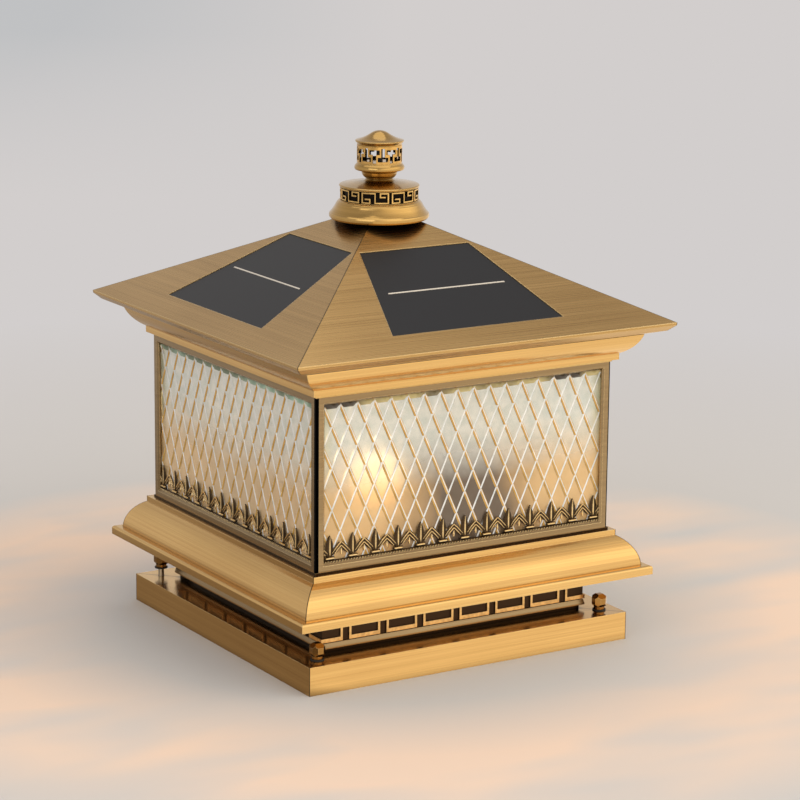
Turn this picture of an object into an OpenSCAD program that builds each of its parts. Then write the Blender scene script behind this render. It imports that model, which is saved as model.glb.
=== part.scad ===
// Square outdoor post light with a solar roof, four diamond-glass panes and a turned finial.
// Millimetres, +Z up, origin at the middle of the base cover's underside, front pane towards -Y.

/* [Base] */
// Outer width of the square base cover
base_w = 300; // [260:1:340]
// Height of the base cover
base_h = 23.3; // [18:0.1:32]
// Thickness of the folded brass sheet
sheet = 1.5; // [1.2:0.1:1.8]
// Thickness of the steel mounting bracket
bracket_t = 3; // [2:0.5:5]
// Gap between the bracket's edge and the inside of the base cover
bracket_gap = 5.5; // [2:0.5:8]
// Distance between neighbouring anchor holes
anchor_pitch = 180; // [150:5:200]
// Diameter of the anchor holes
anchor_d = 9; // [7:0.5:11]
// Diameter of the round opening in the bracket
bracket_hole_d = 120; // [80:5:140]
// Diameter of the round opening in the base cover
cover_hole_d = 100; // [60:5:130]
// Distance of the studs from the base cover's edge
stud_inset = 16; // [14:0.5:17]
// Diameter of the studs
stud_d = 5; // [4:0.5:6]
// Height of the studs above the base cover
stud_h = 11; // [9:0.5:12]
// Diameter of the bosses that carry the studs
boss_d = 14; // [10:1:18]

/* [Ball nuts] */
// Width of a ball nut across its flats
ball_w = 11.6; // [10.5:0.1:12.5]
// Height of the round collar under the ball
collar_h = 1.3; // [1:0.1:2]
// Diameter of the round collar
collar_d = 9; // [8:0.1:10]
// Thickness of the washer under a nut
washer_t = 1; // [0.6:0.1:1.5]
// Outer diameter of the washer
washer_d = 11; // [9:0.5:12]
// How far the left rear nut stands screwed up
raised_nut = 7; // [0:0.5:8]

/* [Neck] */
// How far the neck's walls are set back from the base cover's edge
neck_inset = 26.5; // [25:0.5:29]
// Clear height between the base cover and the skirt plate's rim
neck_gap = 33.8; // [30:0.2:42]
// How far the neck's foot is set back
foot_inset = 1.5; // [1:0.1:2.5]
// Height of the neck's foot
foot_h = 3.7; // [2:0.1:5]
// Width of the neck's inner flanges
neck_flange = 16; // [14:0.5:20]
// Height of the small moulding above the foot
moulding_h = 4.6; // [3:0.1:6]
// How far the moulding and the key band stand proud
band_proud = 1.9; // [1.2:0.1:2.4]
// Height of the key band
key_h = 21.5; // [16:0.5:23]
// Distance from one key rectangle to the next
key_pitch = 34.3; // [30:0.1:36]
// Gap between two key rectangles
key_gap = 5.9; // [4:0.1:8]
// Width of a rectangle's upright bars
key_bar = 2; // [1.4:0.1:3]
// Height of a rectangle's lower and upper bars
key_rail = 3.2; // [2:0.1:4]
// Thickness of the band behind the rectangles
key_back = 0.6; // [0.5:0.1:0.9]

/* [Skirt] */
// How far the skirt plate reaches out beyond the base cover
plate_over = 15; // [13:0.5:20]
// Height of the skirt plate's rim
plate_h = 7.4; // [6:0.1:9]
// Radius of the plate's rounded top edge
plate_round = 2.4; // [1:0.1:3]
// How far the skirt's foot is set back from the plate's edge
skirt_inset = 6.8; // [5:0.1:9]
// How far the skirt's fillet stands out beyond the glass frames
skirt_step = 4.6; // [4:0.1:6.5]
// Height of the skirt
skirt_h = 28.5; // [26:0.5:34]
// Height of the flat fillet on top of the skirt
skirt_fillet_h = 4.9; // [3:0.1:7]
// How far the skirt's curve stands proud of a straight slope
skirt_bulge = 3.5; // [2:0.1:4.5]
// Width of the flanges that join skirt, plate and floor
flange_w = 12; // [10:0.5:14]

/* [Lantern] */
// How far the glass frames are set back from the base cover's edge
lantern_inset = 12; // [10:0.5:14]
// Thickness of the floor plate
floor_t = 1.6; // [1.2:0.1:2.5]
// Height of the glass frames
frame_h = 138.8; // [120:0.2:160]
// Setback of a frame's upright edge from the lantern's corner
corner_slot = 2.5; // [2:0.1:3]
// Width of a frame member
frame_rim = 6.1; // [5:0.1:8]
// Depth of a frame member
frame_depth = 3; // [2.5:0.1:4]
// Bevel on a frame's inner edge
frame_bevel = 1.6; // [0.5:0.1:2]
// Side of a square corner post
post_side = 4; // [3:0.1:4.5]
// Thickness of a pane without its relief
glass_t = 3.2; // [2.5:0.1:4]
// Height of the diamond relief
relief_h = 0.8; // [0.4:0.1:1]
// Width of one diamond
diamond_w = 15.2; // [12:0.1:20]
// Height of one diamond
diamond_h = 33.5; // [26:0.5:40]
// Width of the raised ribs between the diamonds
rib_w = 1.5; // [1:0.1:2.5]
// Height of the rubber seal under and over a pane
seal_h = 2.4; // [1.5:0.1:3]
// Distance between two palmettes
palmette_pitch = 20.7; // [18:0.1:24]
// Height of a palmette's middle leaf
palmette_h = 17.5; // [14:0.5:20]
// Height of the rope border under the palmettes
rope_h = 2.8; // [2:0.1:4]

/* [Cornice] */
// Height of the shadow gap over the frames
lip_h = 1.9; // [1.6:0.1:2.5]
// How far the cornice's fillet stands out beyond the glass frames
cornice_step = 4.1; // [3:0.1:6]
// Height of the cornice's fillet
cornice_fillet_h = 5.2; // [4:0.1:7]
// How far the cornice's top stands out beyond its fillet
cornice_flare = 14.3; // [12:0.1:16]
// Height of the cornice's curved part
cornice_h = 16.8; // [14:0.2:20]
// How far the cornice's curve stands proud of a straight slope
cornice_bulge = 2.3; // [1:0.1:3]
// How far the cornice's inner edge lies behind the frames' faces
mouth_inset = 14; // [12:0.5:16]
// Thickness of the weather seal under the roof
weather_t = 1.5; // [1:0.1:2]
// Width of the weather seal
weather_w = 8; // [5:0.5:9]
// Width of the cross bar
bar_w = 24; // [18:1:30]
// Thickness of the cross bar
bar_t = 3; // [2:0.5:4]
// Diameter of the tie rod
rod_d = 6; // [5:0.5:8]

/* [Roof] */
// How far the eaves stand out beyond the cornice's top
eave_over = 18.6; // [16:0.1:24]
// Height of the eaves' outer edge over the cornice
eave_lift = 11.1; // [10:0.1:13]
// Rise of the roof from the eaves to its flat crown
roof_rise = 73.3; // [60:0.1:90]
// Width of the flat crown under the finial
crown_w = 44; // [40:1:52]
// Height of the upright nose along the eaves
nose_h = 2.2; // [1.5:0.1:3]
// Gap between the cornice's top edge and the roof
roof_gap = 0.5; // [0.4:0.1:1]
// Thickness of the ceiling plate
ceiling_t = 1.5; // [1:0.1:2]
// Width of the ledge that the ceiling plate is riveted to
ledge_w = 10.5; // [8:0.5:14]

/* [Solar panels] */
// Distance of a panel from the eave, along the slope
panel_start = 24.4; // [18:0.2:28]
// Distance of a panel from the flat crown, along the slope
panel_end = 37.1; // [34:0.1:50]
// Setback of a panel's lower corners from the hips
panel_foot_set = 74; // [60:1:84]
// Setback of a panel's upper corners from the hips
panel_top_set = 4.5; // [4.2:0.1:10]
// Thickness of a panel
panel_t = 2; // [1.5:0.1:3]
// How far a panel lies below the roof's surface
panel_sink = 0.5; // [0.3:0.1:1]
// Gap round a panel in its window
panel_gap = 0.3; // [0.2:0.1:0.6]
// Thickness of the tray under a panel
tray_t = 1.4; // [1:0.1:2]
// How far the tray reaches beyond the window
tray_lip = 1.6; // [1:0.1:1.8]
// Place of the busbar, as a distance up the panel
busbar_place = 53; // [40:1:70]
// Setback of the busbar's ends from the panel's edges
busbar_set = 11.3; // [6:0.1:20]
// Width of the busbar
busbar_w = 1.4; // [0.8:0.1:2]

/* [Finial] */
// Outer diameter of the finial's flange
flange_d = 82.2; // [76:0.2:88]
// Height of the flange
flange_h = 15; // [13:0.2:17]
// Outer diameter of the key drum
drum_d = 64; // [60:0.5:68]
// Height of the key drum
drum_h = 11; // [10:0.2:14]
// Number of spirals round the drum, an even number
hook_count = 16; // [12:2:20]
// Turn of the meander round the drum
key_turn = 30.5; // [0:0.5:45]
// Width of the meander's bars
hook_w = 1.1; // [0.8:0.1:1.4]
// How far the meander stands out from the drum
hook_proud = 1.6; // [1:0.1:2]
// Height of the lid with its short neck
lid_h = 6.6; // [5.5:0.1:8]
// Diameter of the neck on the lid
lid_neck_d = 21.8; // [18:0.2:24]
// Outer diameter of the cup
cup_d = 40.8; // [39:0.2:44]
// Height of the cup
cup_h = 13.4; // [12:0.2:16]
// Outer diameter of the pierced ring
ring_d = 36.8; // [34:0.2:38]
// Height of the pierced ring
ring_h = 14; // [12:0.2:17]
// Wall of the pierced ring
ring_wall = 1.5; // [1:0.1:2]
// Number of T openings round the ring, an even number
tee_count = 16; // [12:2:18]
// Turn of the T openings round the ring
tee_turn = 12; // [0:0.5:45]
// How far the turned-over T openings stand above the upright ones
tee_shift = 1.2; // [0:0.1:1.6]
// Outer diameter of the cap
cap_d = 39.6; // [38:0.2:44]
// Height of the cap
cap_h = 11.6; // [10.4:0.2:14]
// Thickness of the gasket under the finial
gasket_t = 1; // [0.6:0.1:1.5]

/* [Lamp] */
// Outer diameter of the lamp holder
holder_d = 36.8; // [36:0.2:40]
// Bore of the lamp holder
holder_bore = 28.4; // [28:0.1:29]
// Depth of the lamp holder under the floor plate
holder_depth = 36.6; // [33:0.2:40]
// Diameter of the bulb's screw cap
bulb_cap_d = 26.2; // [26:0.1:26.6]
// Diameter of the bulb's globe
globe_d = 47; // [40:0.5:55]
// Length of the bulb's collar above its screw cap
bulb_collar_h = 12; // [10:0.5:16]
// Diameter of the lead
lead_d = 3; // [2:0.1:3.4]

/* [Roof electrics] */
// Length, width and height of the battery box
box_size = [88, 64, 24];
// Distance of the battery box from the tie rod's axis
box_start = 14; // [10:1:20]
// Diameter of a battery cell
cell_d = 18.4; // [16:0.1:18.6]
// Length of a battery cell
cell_len = 65; // [50:1:68]
// Distance of the push switch from the tie rod's axis
switch_place = 40; // [24:1:60]
// Diameter of the switch button
button_d = 8; // [6:0.5:9]
// Travel of the switch button
button_travel = 2; // [1:0.1:3]
// Distance of the plug and socket from the tie rod's axis
plug_place = 44; // [40:1:60]

/* [Hidden] */
$fn = 64;
SIDES = ["front", "right", "back", "left"];
NUTS = [1, 2, 3, 4];

// Clearances
run_gap = 0.05;      // a shaft turning in its hole, on the radius
slip_gap = 0.3;      // pieces of different bodies that pass each other
hole_gap = 0.1;      // a screw in its hole, on the radius
far = 500;           // longer than anything here

// Levels, from the ground up
z_cover = base_h;
z_plate = z_cover + neck_gap;
z_skirt = z_plate + plate_h;
z_floor = z_skirt + skirt_h;
z_frame = z_floor + floor_t;
z_lip = z_frame + frame_h;
z_fillet = z_lip + lip_h;
z_ovolo = z_fillet + cornice_fillet_h;
z_cornice = z_ovolo + cornice_h;
z_ceiling = z_cornice + weather_t;
z_ledge = z_ceiling + ceiling_t;
z_eave = z_cornice + eave_lift;
z_crown = z_eave + roof_rise;
z_finial = z_crown + gasket_t;
z_drum = z_finial + flange_h - 0.7;
z_lid = z_drum + drum_h;
z_cup = z_lid + lid_h;
z_ring = z_cup + cup_h;
z_cap = z_ring + ring_h;

// Half widths, from the axis
stud_at = base_w / 2 - stud_inset;
neck_at = base_w / 2 - neck_inset;
band_at = neck_at + band_proud;
plate_at = base_w / 2 + plate_over;
foot_at = plate_at - skirt_inset;
lantern_at = base_w / 2 - lantern_inset;
post_at = lantern_at - frame_depth;
pane_at = post_at - 0.2 - glass_t - relief_h;
cornice_at = lantern_at + cornice_step;
mouth_at = lantern_at - mouth_inset;
top_at = cornice_at + cornice_flare;
soffit_at = top_at + roof_gap;
eave_at = top_at + eave_over;
crown_at = crown_w / 2;

// Screws
screw_d = 4;
head_d = 7.4;
head_h = 2.4;
screw_hole = screw_d + 2 * hole_gap;
neck_screw_at = neck_at - neck_flange + 6.5;
skirt_screw_at = foot_at - flange_w / 2 - 1.2;
floor_screw_at = mouth_at + 2;
bar_screw_at = mouth_at + 5;
rivet_at = soffit_at - ledge_w / 2 - 1.4;

// Roof slope
pitch = atan(roof_rise / (eave_at - crown_at));
sheet_drop = sheet / cos(pitch);
function roof_z(at) = z_eave + (eave_at - at) * tan(pitch);

// Panels, as half widths at their lower and upper edges
slope_len = norm([eave_at - crown_at, roof_rise]);
panel_len = slope_len - panel_start - panel_end;
panel_foot_at = eave_at - panel_start * cos(pitch) - panel_foot_set;
panel_top_at = eave_at - (panel_start + panel_len) * cos(pitch) - panel_top_set;
busbar_at = panel_foot_at + (panel_top_at - panel_foot_at) * busbar_place / panel_len - busbar_set;

// Points of the arc from p to q, which stands rise proud on the left of the way from p to q
function bow(p, q, rise, n = 10) =
    let (
        half = norm(q - p) / 2,
        turn = sign(rise),
        bulge = abs(rise),
        radius = (half * half + bulge * bulge) / (2 * bulge),
        left = [p[1] - q[1], q[0] - p[0]] / (2 * half),
        centre = (p + q) / 2 - turn * (radius - bulge) * left,
        start = atan2(p[1] - centre[1], p[0] - centre[0]),
        sweep = 2 * asin(half / radius)
    )
    [for (i = [0 : n]) centre + radius * [cos(start - turn * sweep * i / n), sin(start - turn * sweep * i / n)]];

// A square ring of one section, given as points of half width and height, with mitred corners
module mitred_ring(section) {
    for (side = [0 : 3])
        rotate([0, 0, 90 * side])
            intersection() {
                rotate([90, 0, 0])
                    linear_extrude(2 * far, center = true)
                        polygon(section);
                linear_extrude(far)
                    polygon([[0, 0], [far, -far], [far, far]]);
            }
}

// Repeats the front's piece on the side with this number, anticlockwise from the front
module on_side(side) {
    rotate([0, 0, 90 * side])
        children();
}

// Repeats a piece on all four sides
module on_sides() {
    for (side = [0 : 3])
        on_side(side)
            children();
}

// Stands a flat outline up behind the front, from back_at outwards
module upright(back_at, depth) {
    translate([0, -back_at, 0])
        rotate([90, 0, 0])
            linear_extrude(depth)
                children();
}

// A square plate with its middle on the axis
module plate(width, z, thickness) {
    translate([-width / 2, -width / 2, z])
        cube([width, width, thickness]);
}

// A round hole or rod along Z
module rod(d, z, h) {
    translate([0, 0, z])
        cylinder(d = d, h = h);
}

// Places children at the four studs
module at_studs() {
    for (x = [-1, 1], y = [-1, 1])
        translate([x * stud_at, y * stud_at, 0])
            children();
}

// Places children in the middle of each side, this far from the axis
module at_middles(at) {
    on_sides()
        translate([0, -at, 0])
            children();
}

// Steel bracket that is anchored to the post, with a welded stud on each boss
module mounting_bracket() {
    color("dimgray")
        difference() {
            union() {
                plate(base_w - 2 * (sheet + bracket_gap), 0, bracket_t);
                at_studs() {
                    rod(boss_d, 0, z_cover - sheet);
                    rod(stud_d, 0, z_cover + stud_h);
                }
            }
            rod(bracket_hole_d, -1, bracket_t + 2);
            for (x = [-1, 1], y = [-1, 1])
                translate([x, y, 0] * anchor_pitch / 2)
                    rod(anchor_d, -1, bracket_t + 2);
        }
}

// Square cover pan over the bracket
module base_cover() {
    color("darkgoldenrod")
        difference() {
            plate(base_w, 0, z_cover);
            plate(base_w - 2 * sheet, -1, z_cover - sheet + 1);
            rod(cover_hole_d, 0, z_cover + 1);
            at_studs()
                rod(stud_d + 2 * slip_gap, 0, z_cover + 1);
            at_middles(neck_screw_at)
                rod(screw_hole, 0, z_cover + 1);
        }
}

// One nut: a faceted ball on a collar, with a blind bore for the stud
module ball_nut(n) {
    lift = n == 4 ? raised_nut : 0;
    corner = [[-1, -1], [1, -1], [1, 1], [-1, 1]][n - 1];
    facet_r = ball_w / 2 / cos(22.5);
    color("saddlebrown")
        translate([corner[0] * stud_at, corner[1] * stud_at, z_cover + washer_t + lift])
            difference() {
                union() {
                    rod(collar_d, 0, collar_h + 1);
                    translate([0, 0, collar_h + ball_w / 2])
                        intersection() {
                            rotate([0, 0, 22.5])
                                cylinder(r = facet_r, h = 2 * ball_w, center = true, $fn = 8);
                            rotate([90, 0, 0])
                                rotate([0, 0, 22.5])
                                    cylinder(r = facet_r, h = 2 * ball_w, center = true, $fn = 8);
                            rotate([0, 90, 0])
                                rotate([0, 0, 22.5])
                                    cylinder(r = facet_r, h = 2 * ball_w, center = true, $fn = 8);
                        }
                }
                rod(stud_d + 2 * run_gap, -1, stud_h - washer_t + 1.6);
            }
}

module nut_washer(n) {
    lift = n == 4 ? raised_nut : 0;
    corner = [[-1, -1], [1, -1], [1, 1], [-1, 1]][n - 1];
    color("black")
        translate([corner[0] * stud_at, corner[1] * stud_at, z_cover + lift])
            difference() {
                rod(washer_d, 0, washer_t);
                rod(stud_d + 2 * slip_gap, -1, washer_t + 2);
            }
}

// Folded neck with its set-back foot and two inner flanges
module neck_box() {
    foot = neck_at - foot_inset;
    inner = neck_at - neck_flange;
    top = z_skirt - sheet;
    color("saddlebrown")
        difference() {
            mitred_ring([
                [inner, z_cover], [foot, z_cover], [foot, z_cover + foot_h], [neck_at, z_cover + foot_h],
                [neck_at, top], [inner, top], [inner, top - sheet], [neck_at - sheet, top - sheet],
                [neck_at - sheet, z_cover + foot_h + sheet], [foot - sheet, z_cover + foot_h + sheet],
                [foot - sheet, z_cover + sheet], [inner, z_cover + sheet]
            ]);
            at_middles(neck_screw_at)
                rod(screw_hole, 0, far);
        }
}

// Small moulding between the neck's foot and the key band
module neck_moulding() {
    z = z_cover + foot_h;
    color("goldenrod")
        mitred_ring([
            [neck_at, z], [band_at, z], [band_at, z + moulding_h / 4],
            [band_at - band_proud / 2, z + moulding_h], [neck_at, z + moulding_h]
        ]);
}

// Raised key band: a row of open rectangles, with one wrapped round each corner
module key_fret_band() {
    z = z_cover + foot_h + moulding_h + 0.8;
    face = neck_at + key_back;
    depth = band_at - face;
    full = floor((band_at - 14) / key_pitch);
    unit_w = key_pitch - key_gap;
    color("darkgoldenrod") {
        mitred_ring([[neck_at, z], [face, z], [face, z + key_h], [neck_at, z + key_h]]);
        on_sides() {
            for (k = [-full + 0.5 : full - 0.5])
                upright(face, depth)
                    translate([k * key_pitch - unit_w / 2, z])
                        difference() {
                            square([unit_w, key_h]);
                            translate([key_bar, key_rail])
                                square([unit_w - 2 * key_bar, key_h - 2 * key_rail]);
                        }
            for (end = [0, 1])
                mirror([end, 0, 0])
                    upright(face, depth)
                        translate([full * key_pitch + key_gap / 2, z]) {
                            square([key_bar, key_h]);
                            square([band_at - full * key_pitch - key_gap / 2, key_rail]);
                            translate([0, key_h - key_rail])
                                square([band_at - full * key_pitch - key_gap / 2, key_rail]);
                        }
        }
    }
}

// Square pan under the skirt, with a rounded top edge
module skirt_plate() {
    inner = neck_at - neck_flange;
    under = z_skirt - sheet;
    color("goldenrod")
        difference() {
            mitred_ring(concat(
                [[plate_at, z_plate]],
                [for (i = [0 : 6])
                    [plate_at - plate_round, z_skirt - plate_round]
                    + plate_round * [cos(15 * i), sin(15 * i)]],
                [[inner, z_skirt], [inner, under], [plate_at - sheet, under], [plate_at - sheet, z_plate]]
            ));
            at_middles(neck_screw_at)
                rod(screw_hole, z_plate, far);
            at_middles(skirt_screw_at)
                rod(screw_hole, z_plate, far);
        }
}

// Flared skirt shell with its fillet and the flanges inside
module skirt_shell() {
    fillet = lantern_at + skirt_step;
    z_curve = z_floor - skirt_fillet_h;
    quirk = 0.5;
    color("goldenrod")
        difference() {
            mitred_ring(concat(
                [[fillet, z_floor], [fillet, z_curve]],
                bow([fillet + quirk, z_curve], [foot_at, z_skirt], skirt_bulge),
                [[foot_at - flange_w - sheet, z_skirt], [foot_at - flange_w - sheet, z_skirt + sheet]],
                bow([foot_at - sheet, z_skirt + sheet], [fillet - 0.3, z_curve - sheet], 0.3 - skirt_bulge),
                [[fillet - sheet, z_curve - 0.6], [fillet - sheet, z_floor - sheet]],
                [[mouth_at - 2, z_floor - sheet], [mouth_at - 2, z_floor]]
            ));
            at_middles(skirt_screw_at)
                rod(screw_hole, 0, z_floor - skirt_h / 2);
            at_middles(floor_screw_at)
                rod(screw_hole, z_skirt, far);
            lead_hole(z_floor);
        }
}

// Hole that the lead comes down through
module lead_hole(z) {
    translate([lead_corner, lead_corner, 0])
        rod(lead_d + 2 * slip_gap, z - 10, 20);
}

// Polished floor of the lantern
module floor_plate() {
    color("saddlebrown")
        difference() {
            plate(2 * lantern_at, z_floor, floor_t);
            rod(holder_d + 2 * hole_gap, z_floor - 1, far);
            at_middles(floor_screw_at)
                rod(screw_hole, z_floor - 1, far);
            lead_hole(z_floor);
        }
}

// A pan-head screw whose head rests at height z, pointing down or up
module screw(z, length, up = false) {
    mirror([0, 0, up ? 1 : 0])
        translate([0, 0, up ? -z : z]) {
            cylinder(d = head_d, h = head_h);
            translate([0, 0, -length])
                cylinder(d = screw_d, h = length);
        }
}

module case_screws() {
    color("silver") {
        at_middles(neck_screw_at) {
            screw(z_cover + sheet, 2 * sheet + 3);
            screw(z_skirt, 2 * sheet + 3);
        }
        at_middles(skirt_screw_at)
            screw(z_skirt - sheet, 2 * sheet + 1.5, up = true);
        at_middles(floor_screw_at)
            screw(z_frame, floor_t + sheet + 3);
        for (y = [-1, 1])
            translate([0, y * bar_screw_at, 0])
                screw(z_fillet + bar_t, bar_t + lip_h);
    }
}

module corner_posts() {
    color("black")
        for (x = [-1, 1], y = [-1, 1])
            translate([x, y, 0] * (post_at - post_side / 2))
                translate([-post_side / 2, -post_side / 2, z_frame])
                    cube([post_side, post_side, frame_h]);
}

// One mitred member of a frame, lying along X with its outer edge at z = 0
module frame_member(length) {
    intersection() {
        rotate([90, 0, 90])
            linear_extrude(length, center = true)
                polygon([
                    [0, 0], [0, frame_rim], [frame_bevel - frame_depth, frame_rim],
                    [-frame_depth, frame_rim - frame_bevel], [-frame_depth, 0]
                ]);
        upright(-1, frame_depth + 2)
            polygon([
                [-length / 2, 0], [length / 2, 0],
                [length / 2 - frame_rim, frame_rim], [frame_rim - length / 2, frame_rim]
            ]);
    }
}

module glass_frames() {
    frame_w = 2 * (lantern_at - corner_slot);
    color("goldenrod")
        on_sides()
            translate([0, -post_at, z_frame + frame_h / 2])
                for (k = [0 : 3])
                    rotate([0, 90 * k, 0])
                        translate([0, 0, -(k % 2 == 0 ? frame_h : frame_w) / 2])
                            frame_member(k % 2 == 0 ? frame_w : frame_h);
}

// Sight size: the clear width and height inside a frame
sight_w = 2 * (lantern_at - corner_slot - frame_rim);
sight_h = frame_h - 2 * frame_rim;
sight_z = z_frame + frame_rim;

// Outlines of the sunk diamonds of one pane
module diamonds() {
    count = round(sight_w / diamond_w);
    step = sight_w / count;
    rows = ceil(2 * sight_h / diamond_h);
    side = norm([step, diamond_h]) / 2;
    half_w = step / 2 - rib_w * side / diamond_h;
    half_h = diamond_h / 2 - rib_w * side / step;
    for (row = [0 : rows + 1], col = [-count : count])
        if ((row + col) % 2 == 0)
            translate([col * step / 2, sight_z + sight_h - 2 - row * diamond_h / 2])
                polygon([[-half_w, 0], [0, -half_h], [half_w, 0], [0, half_h]]);
}

// Pressed pane: a plate with a lattice of raised ribs on its outer face
module glass_pane(side) {
    color("lightcyan", 0.4)
        on_side(side) {
            upright(pane_at, glass_t)
                translate([-post_at + post_side + 0.3, z_frame + seal_h])
                    square([2 * (post_at - post_side - 0.3), frame_h - 2 * seal_h]);
            upright(pane_at + glass_t, relief_h)
                translate([-post_at + post_side + 0.3, z_frame + seal_h])
                    difference() {
                        square([2 * (post_at - post_side - 0.3), frame_h - 2 * seal_h]);
                        translate([post_at - post_side - 0.3, -z_frame - seal_h])
                            intersection() {
                                diamonds();
                                translate([-sight_w / 2 + rib_w, sight_z + rib_w])
                                    square([sight_w - 2 * rib_w, sight_h - 2 * rib_w]);
                            }
                    }
        }
}

// A pointed leaf that stands on the origin
module leaf(length, width) {
    polygon(concat(
        bow([0, length], [0, 0], -width / 2, 5),
        bow([0, 0], [0, length], -width / 2, 5)
    ));
}

// Palmettes on a rope border at the foot of each pane
module palmette_strips() {
    count = 2 * floor(sight_w / palmette_pitch / 2) + 1;
    color("saddlebrown")
        on_sides()
            upright(post_at, frame_depth - frame_bevel)
                intersection() {
                    translate([-sight_w / 2, sight_z])
                        square([sight_w, sight_h]);
                    union() {
                        translate([-sight_w / 2, sight_z])
                            square([sight_w, rope_h]);
                        for (k = [-(count - 1) / 2 : (count - 1) / 2])
                            translate([k * palmette_pitch, sight_z + rope_h - 0.6]) {
                                leaf(palmette_h, 5.4);
                                for (lean = [-1, 1]) {
                                    rotate([0, 0, 38 * lean])
                                        leaf(palmette_h * 0.72, 4.2);
                                    rotate([0, 0, 68 * lean])
                                        leaf(palmette_h * 0.62, 3.4);
                                }
                            }
                    }
                }
}

// Rubber strips under and over each pane
module glazing_seals() {
    width = 2 * (post_at - post_side - 2);
    depth = glass_t + relief_h - 0.4;
    color("black")
        on_sides()
            upright(pane_at + 0.2, depth)
                for (z = [z_frame, z_lip - seal_h])
                    translate([-width / 2, z])
                        square([width, seal_h]);
}

// Cornice: a flange on the frames, a fillet and a curve up to the roof
module cornice_ring() {
    step_at = lantern_at;
    color("goldenrod")
        difference() {
            mitred_ring(concat(
                [[mouth_at, z_lip], [step_at, z_lip], [step_at, z_fillet], [cornice_at, z_fillet]],
                bow([cornice_at, z_ovolo], [top_at, z_cornice], -cornice_bulge),
                [[top_at - 16, z_cornice], [top_at - 16, z_cornice - sheet]],
                bow([top_at - sheet - 0.6, z_cornice - sheet], [cornice_at - sheet, z_ovolo + 0.6], cornice_bulge),
                [[cornice_at - sheet, z_fillet + sheet], [step_at - sheet, z_fillet + sheet]],
                [[step_at - sheet, z_fillet], [mouth_at, z_fillet]]
            ));
            for (y = [-1, 1])
                translate([0, y * bar_screw_at, 0])
                    rod(screw_hole, z_lip - 1, 6);
            lead_hole(z_fillet);
        }
}

module weather_seal() {
    outer = top_at - 7.4;
    color("black")
        mitred_ring([
            [outer - weather_w, z_cornice], [outer, z_cornice],
            [outer, z_ceiling], [outer - weather_w, z_ceiling]
        ]);
}

// Bar across the lantern's mouth, which holds the tie rod
module cross_bar() {
    length = 2 * (lantern_at - 6);
    color("dimgray")
        difference() {
            translate([-bar_w / 2, -length / 2, z_fillet])
                cube([bar_w, length, bar_t]);
            rod(rod_d + 2 * hole_gap, z_lip, far);
            for (y = [-1, 1])
                translate([0, y * bar_screw_at, 0])
                    rod(screw_hole, z_lip, far);
        }
}

// Rod that the finial is screwed onto, through the roof
rod_top = z_drum + 4.6;
rod_nut_h = 5;
module tie_rod() {
    foot = z_fillet - rod_nut_h - 0.5;
    color("silver")
        rod(rod_d, foot, rod_top - foot);
}

module rod_nuts() {
    color("silver")
        for (z = [z_fillet - rod_nut_h, z_fillet + bar_t])
            difference() {
                translate([0, 0, z])
                    cylinder(d = rod_d * 1.9, h = rod_nut_h, $fn = 6);
                rod(rod_d + 2 * run_gap, z - 1, rod_nut_h + 2);
            }
}

// Lamp holder that hangs through the floor plate by its rim
holder_rim_h = 2.6;
z_holder = z_frame - holder_depth;
z_contact = z_holder + 4;
module lamp_holder() {
    color("white")
        rotate_extrude()
            polygon([
                [0, z_holder], [holder_d / 2, z_holder], [holder_d / 2, z_frame],
                [holder_d / 2 + 7.6, z_frame], [holder_d / 2 + 7.6, z_frame + holder_rim_h],
                [holder_bore / 2, z_frame + holder_rim_h], [holder_bore / 2, z_contact], [0, z_contact]
            ]);
}

// The bulb's levels
z_bulb = z_contact + slip_gap;
z_bulb_collar = z_frame - 3.4;
z_globe_foot = z_bulb_collar + bulb_collar_h;
globe_foot_r = 14.5;
z_globe = z_globe_foot + sqrt(pow(globe_d / 2, 2) - pow(globe_foot_r, 2));

module bulb_cap() {
    r = bulb_cap_d / 2;
    wall = 0.8;
    color("silver")
        rotate_extrude()
            polygon([
                [0, z_bulb], [4.5, z_bulb], [4.5, z_bulb + 2], [r, z_bulb + 6], [r, z_bulb_collar],
                [r - wall, z_bulb_collar], [r - wall, z_bulb + 7], [0, z_bulb + 3]
            ]);
}

module bulb_base() {
    z_rim = z_frame + holder_rim_h + slip_gap;
    color("white")
        rotate_extrude()
            polygon([
                [0, z_bulb_collar], [bulb_cap_d / 2 + 0.3, z_bulb_collar], [bulb_cap_d / 2 + 0.3, z_rim],
                [globe_foot_r, z_rim + 1], [globe_foot_r, z_globe_foot], [0, z_globe_foot]
            ]);
}

module bulb_glass() {
    wall = 0.8;
    rise = asin((z_globe_foot - z_globe) / (globe_d / 2));
    inner_rise = asin((z_globe_foot - z_globe) / (globe_d / 2 - wall));
    color("orange", 0.5)
        rotate_extrude()
            polygon(concat(
                [for (i = [0 : 16]) let (a = rise + (90 - rise) * i / 16)
                    [globe_d / 2 * cos(a), z_globe + globe_d / 2 * sin(a)]],
                [for (i = [16 : -1 : 0]) let (a = inner_rise + (90 - inner_rise) * i / 16)
                    [(globe_d / 2 - wall) * cos(a), z_globe + (globe_d / 2 - wall) * sin(a)]]
            ));
}

// Stem with a hub and four light filaments
module bulb_filaments() {
    reach = globe_d / 5;
    z_hub = z_globe + globe_d / 5;
    color("gold") {
        rod(globe_foot_r * 1.4, z_globe_foot, 1.4);
        rod(3, z_globe_foot, z_hub + 1.5 - z_globe_foot);
        for (turn = [0 : 3])
            rotate([0, 0, 45 + 90 * turn]) {
                translate([0, -0.6, z_hub])
                    cube([reach, 1.2, 1.5]);
                translate([reach, 0, 0])
                    rod(1.8, z_globe_foot, z_hub + 1.5 - z_globe_foot);
            }
    }
}

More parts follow.
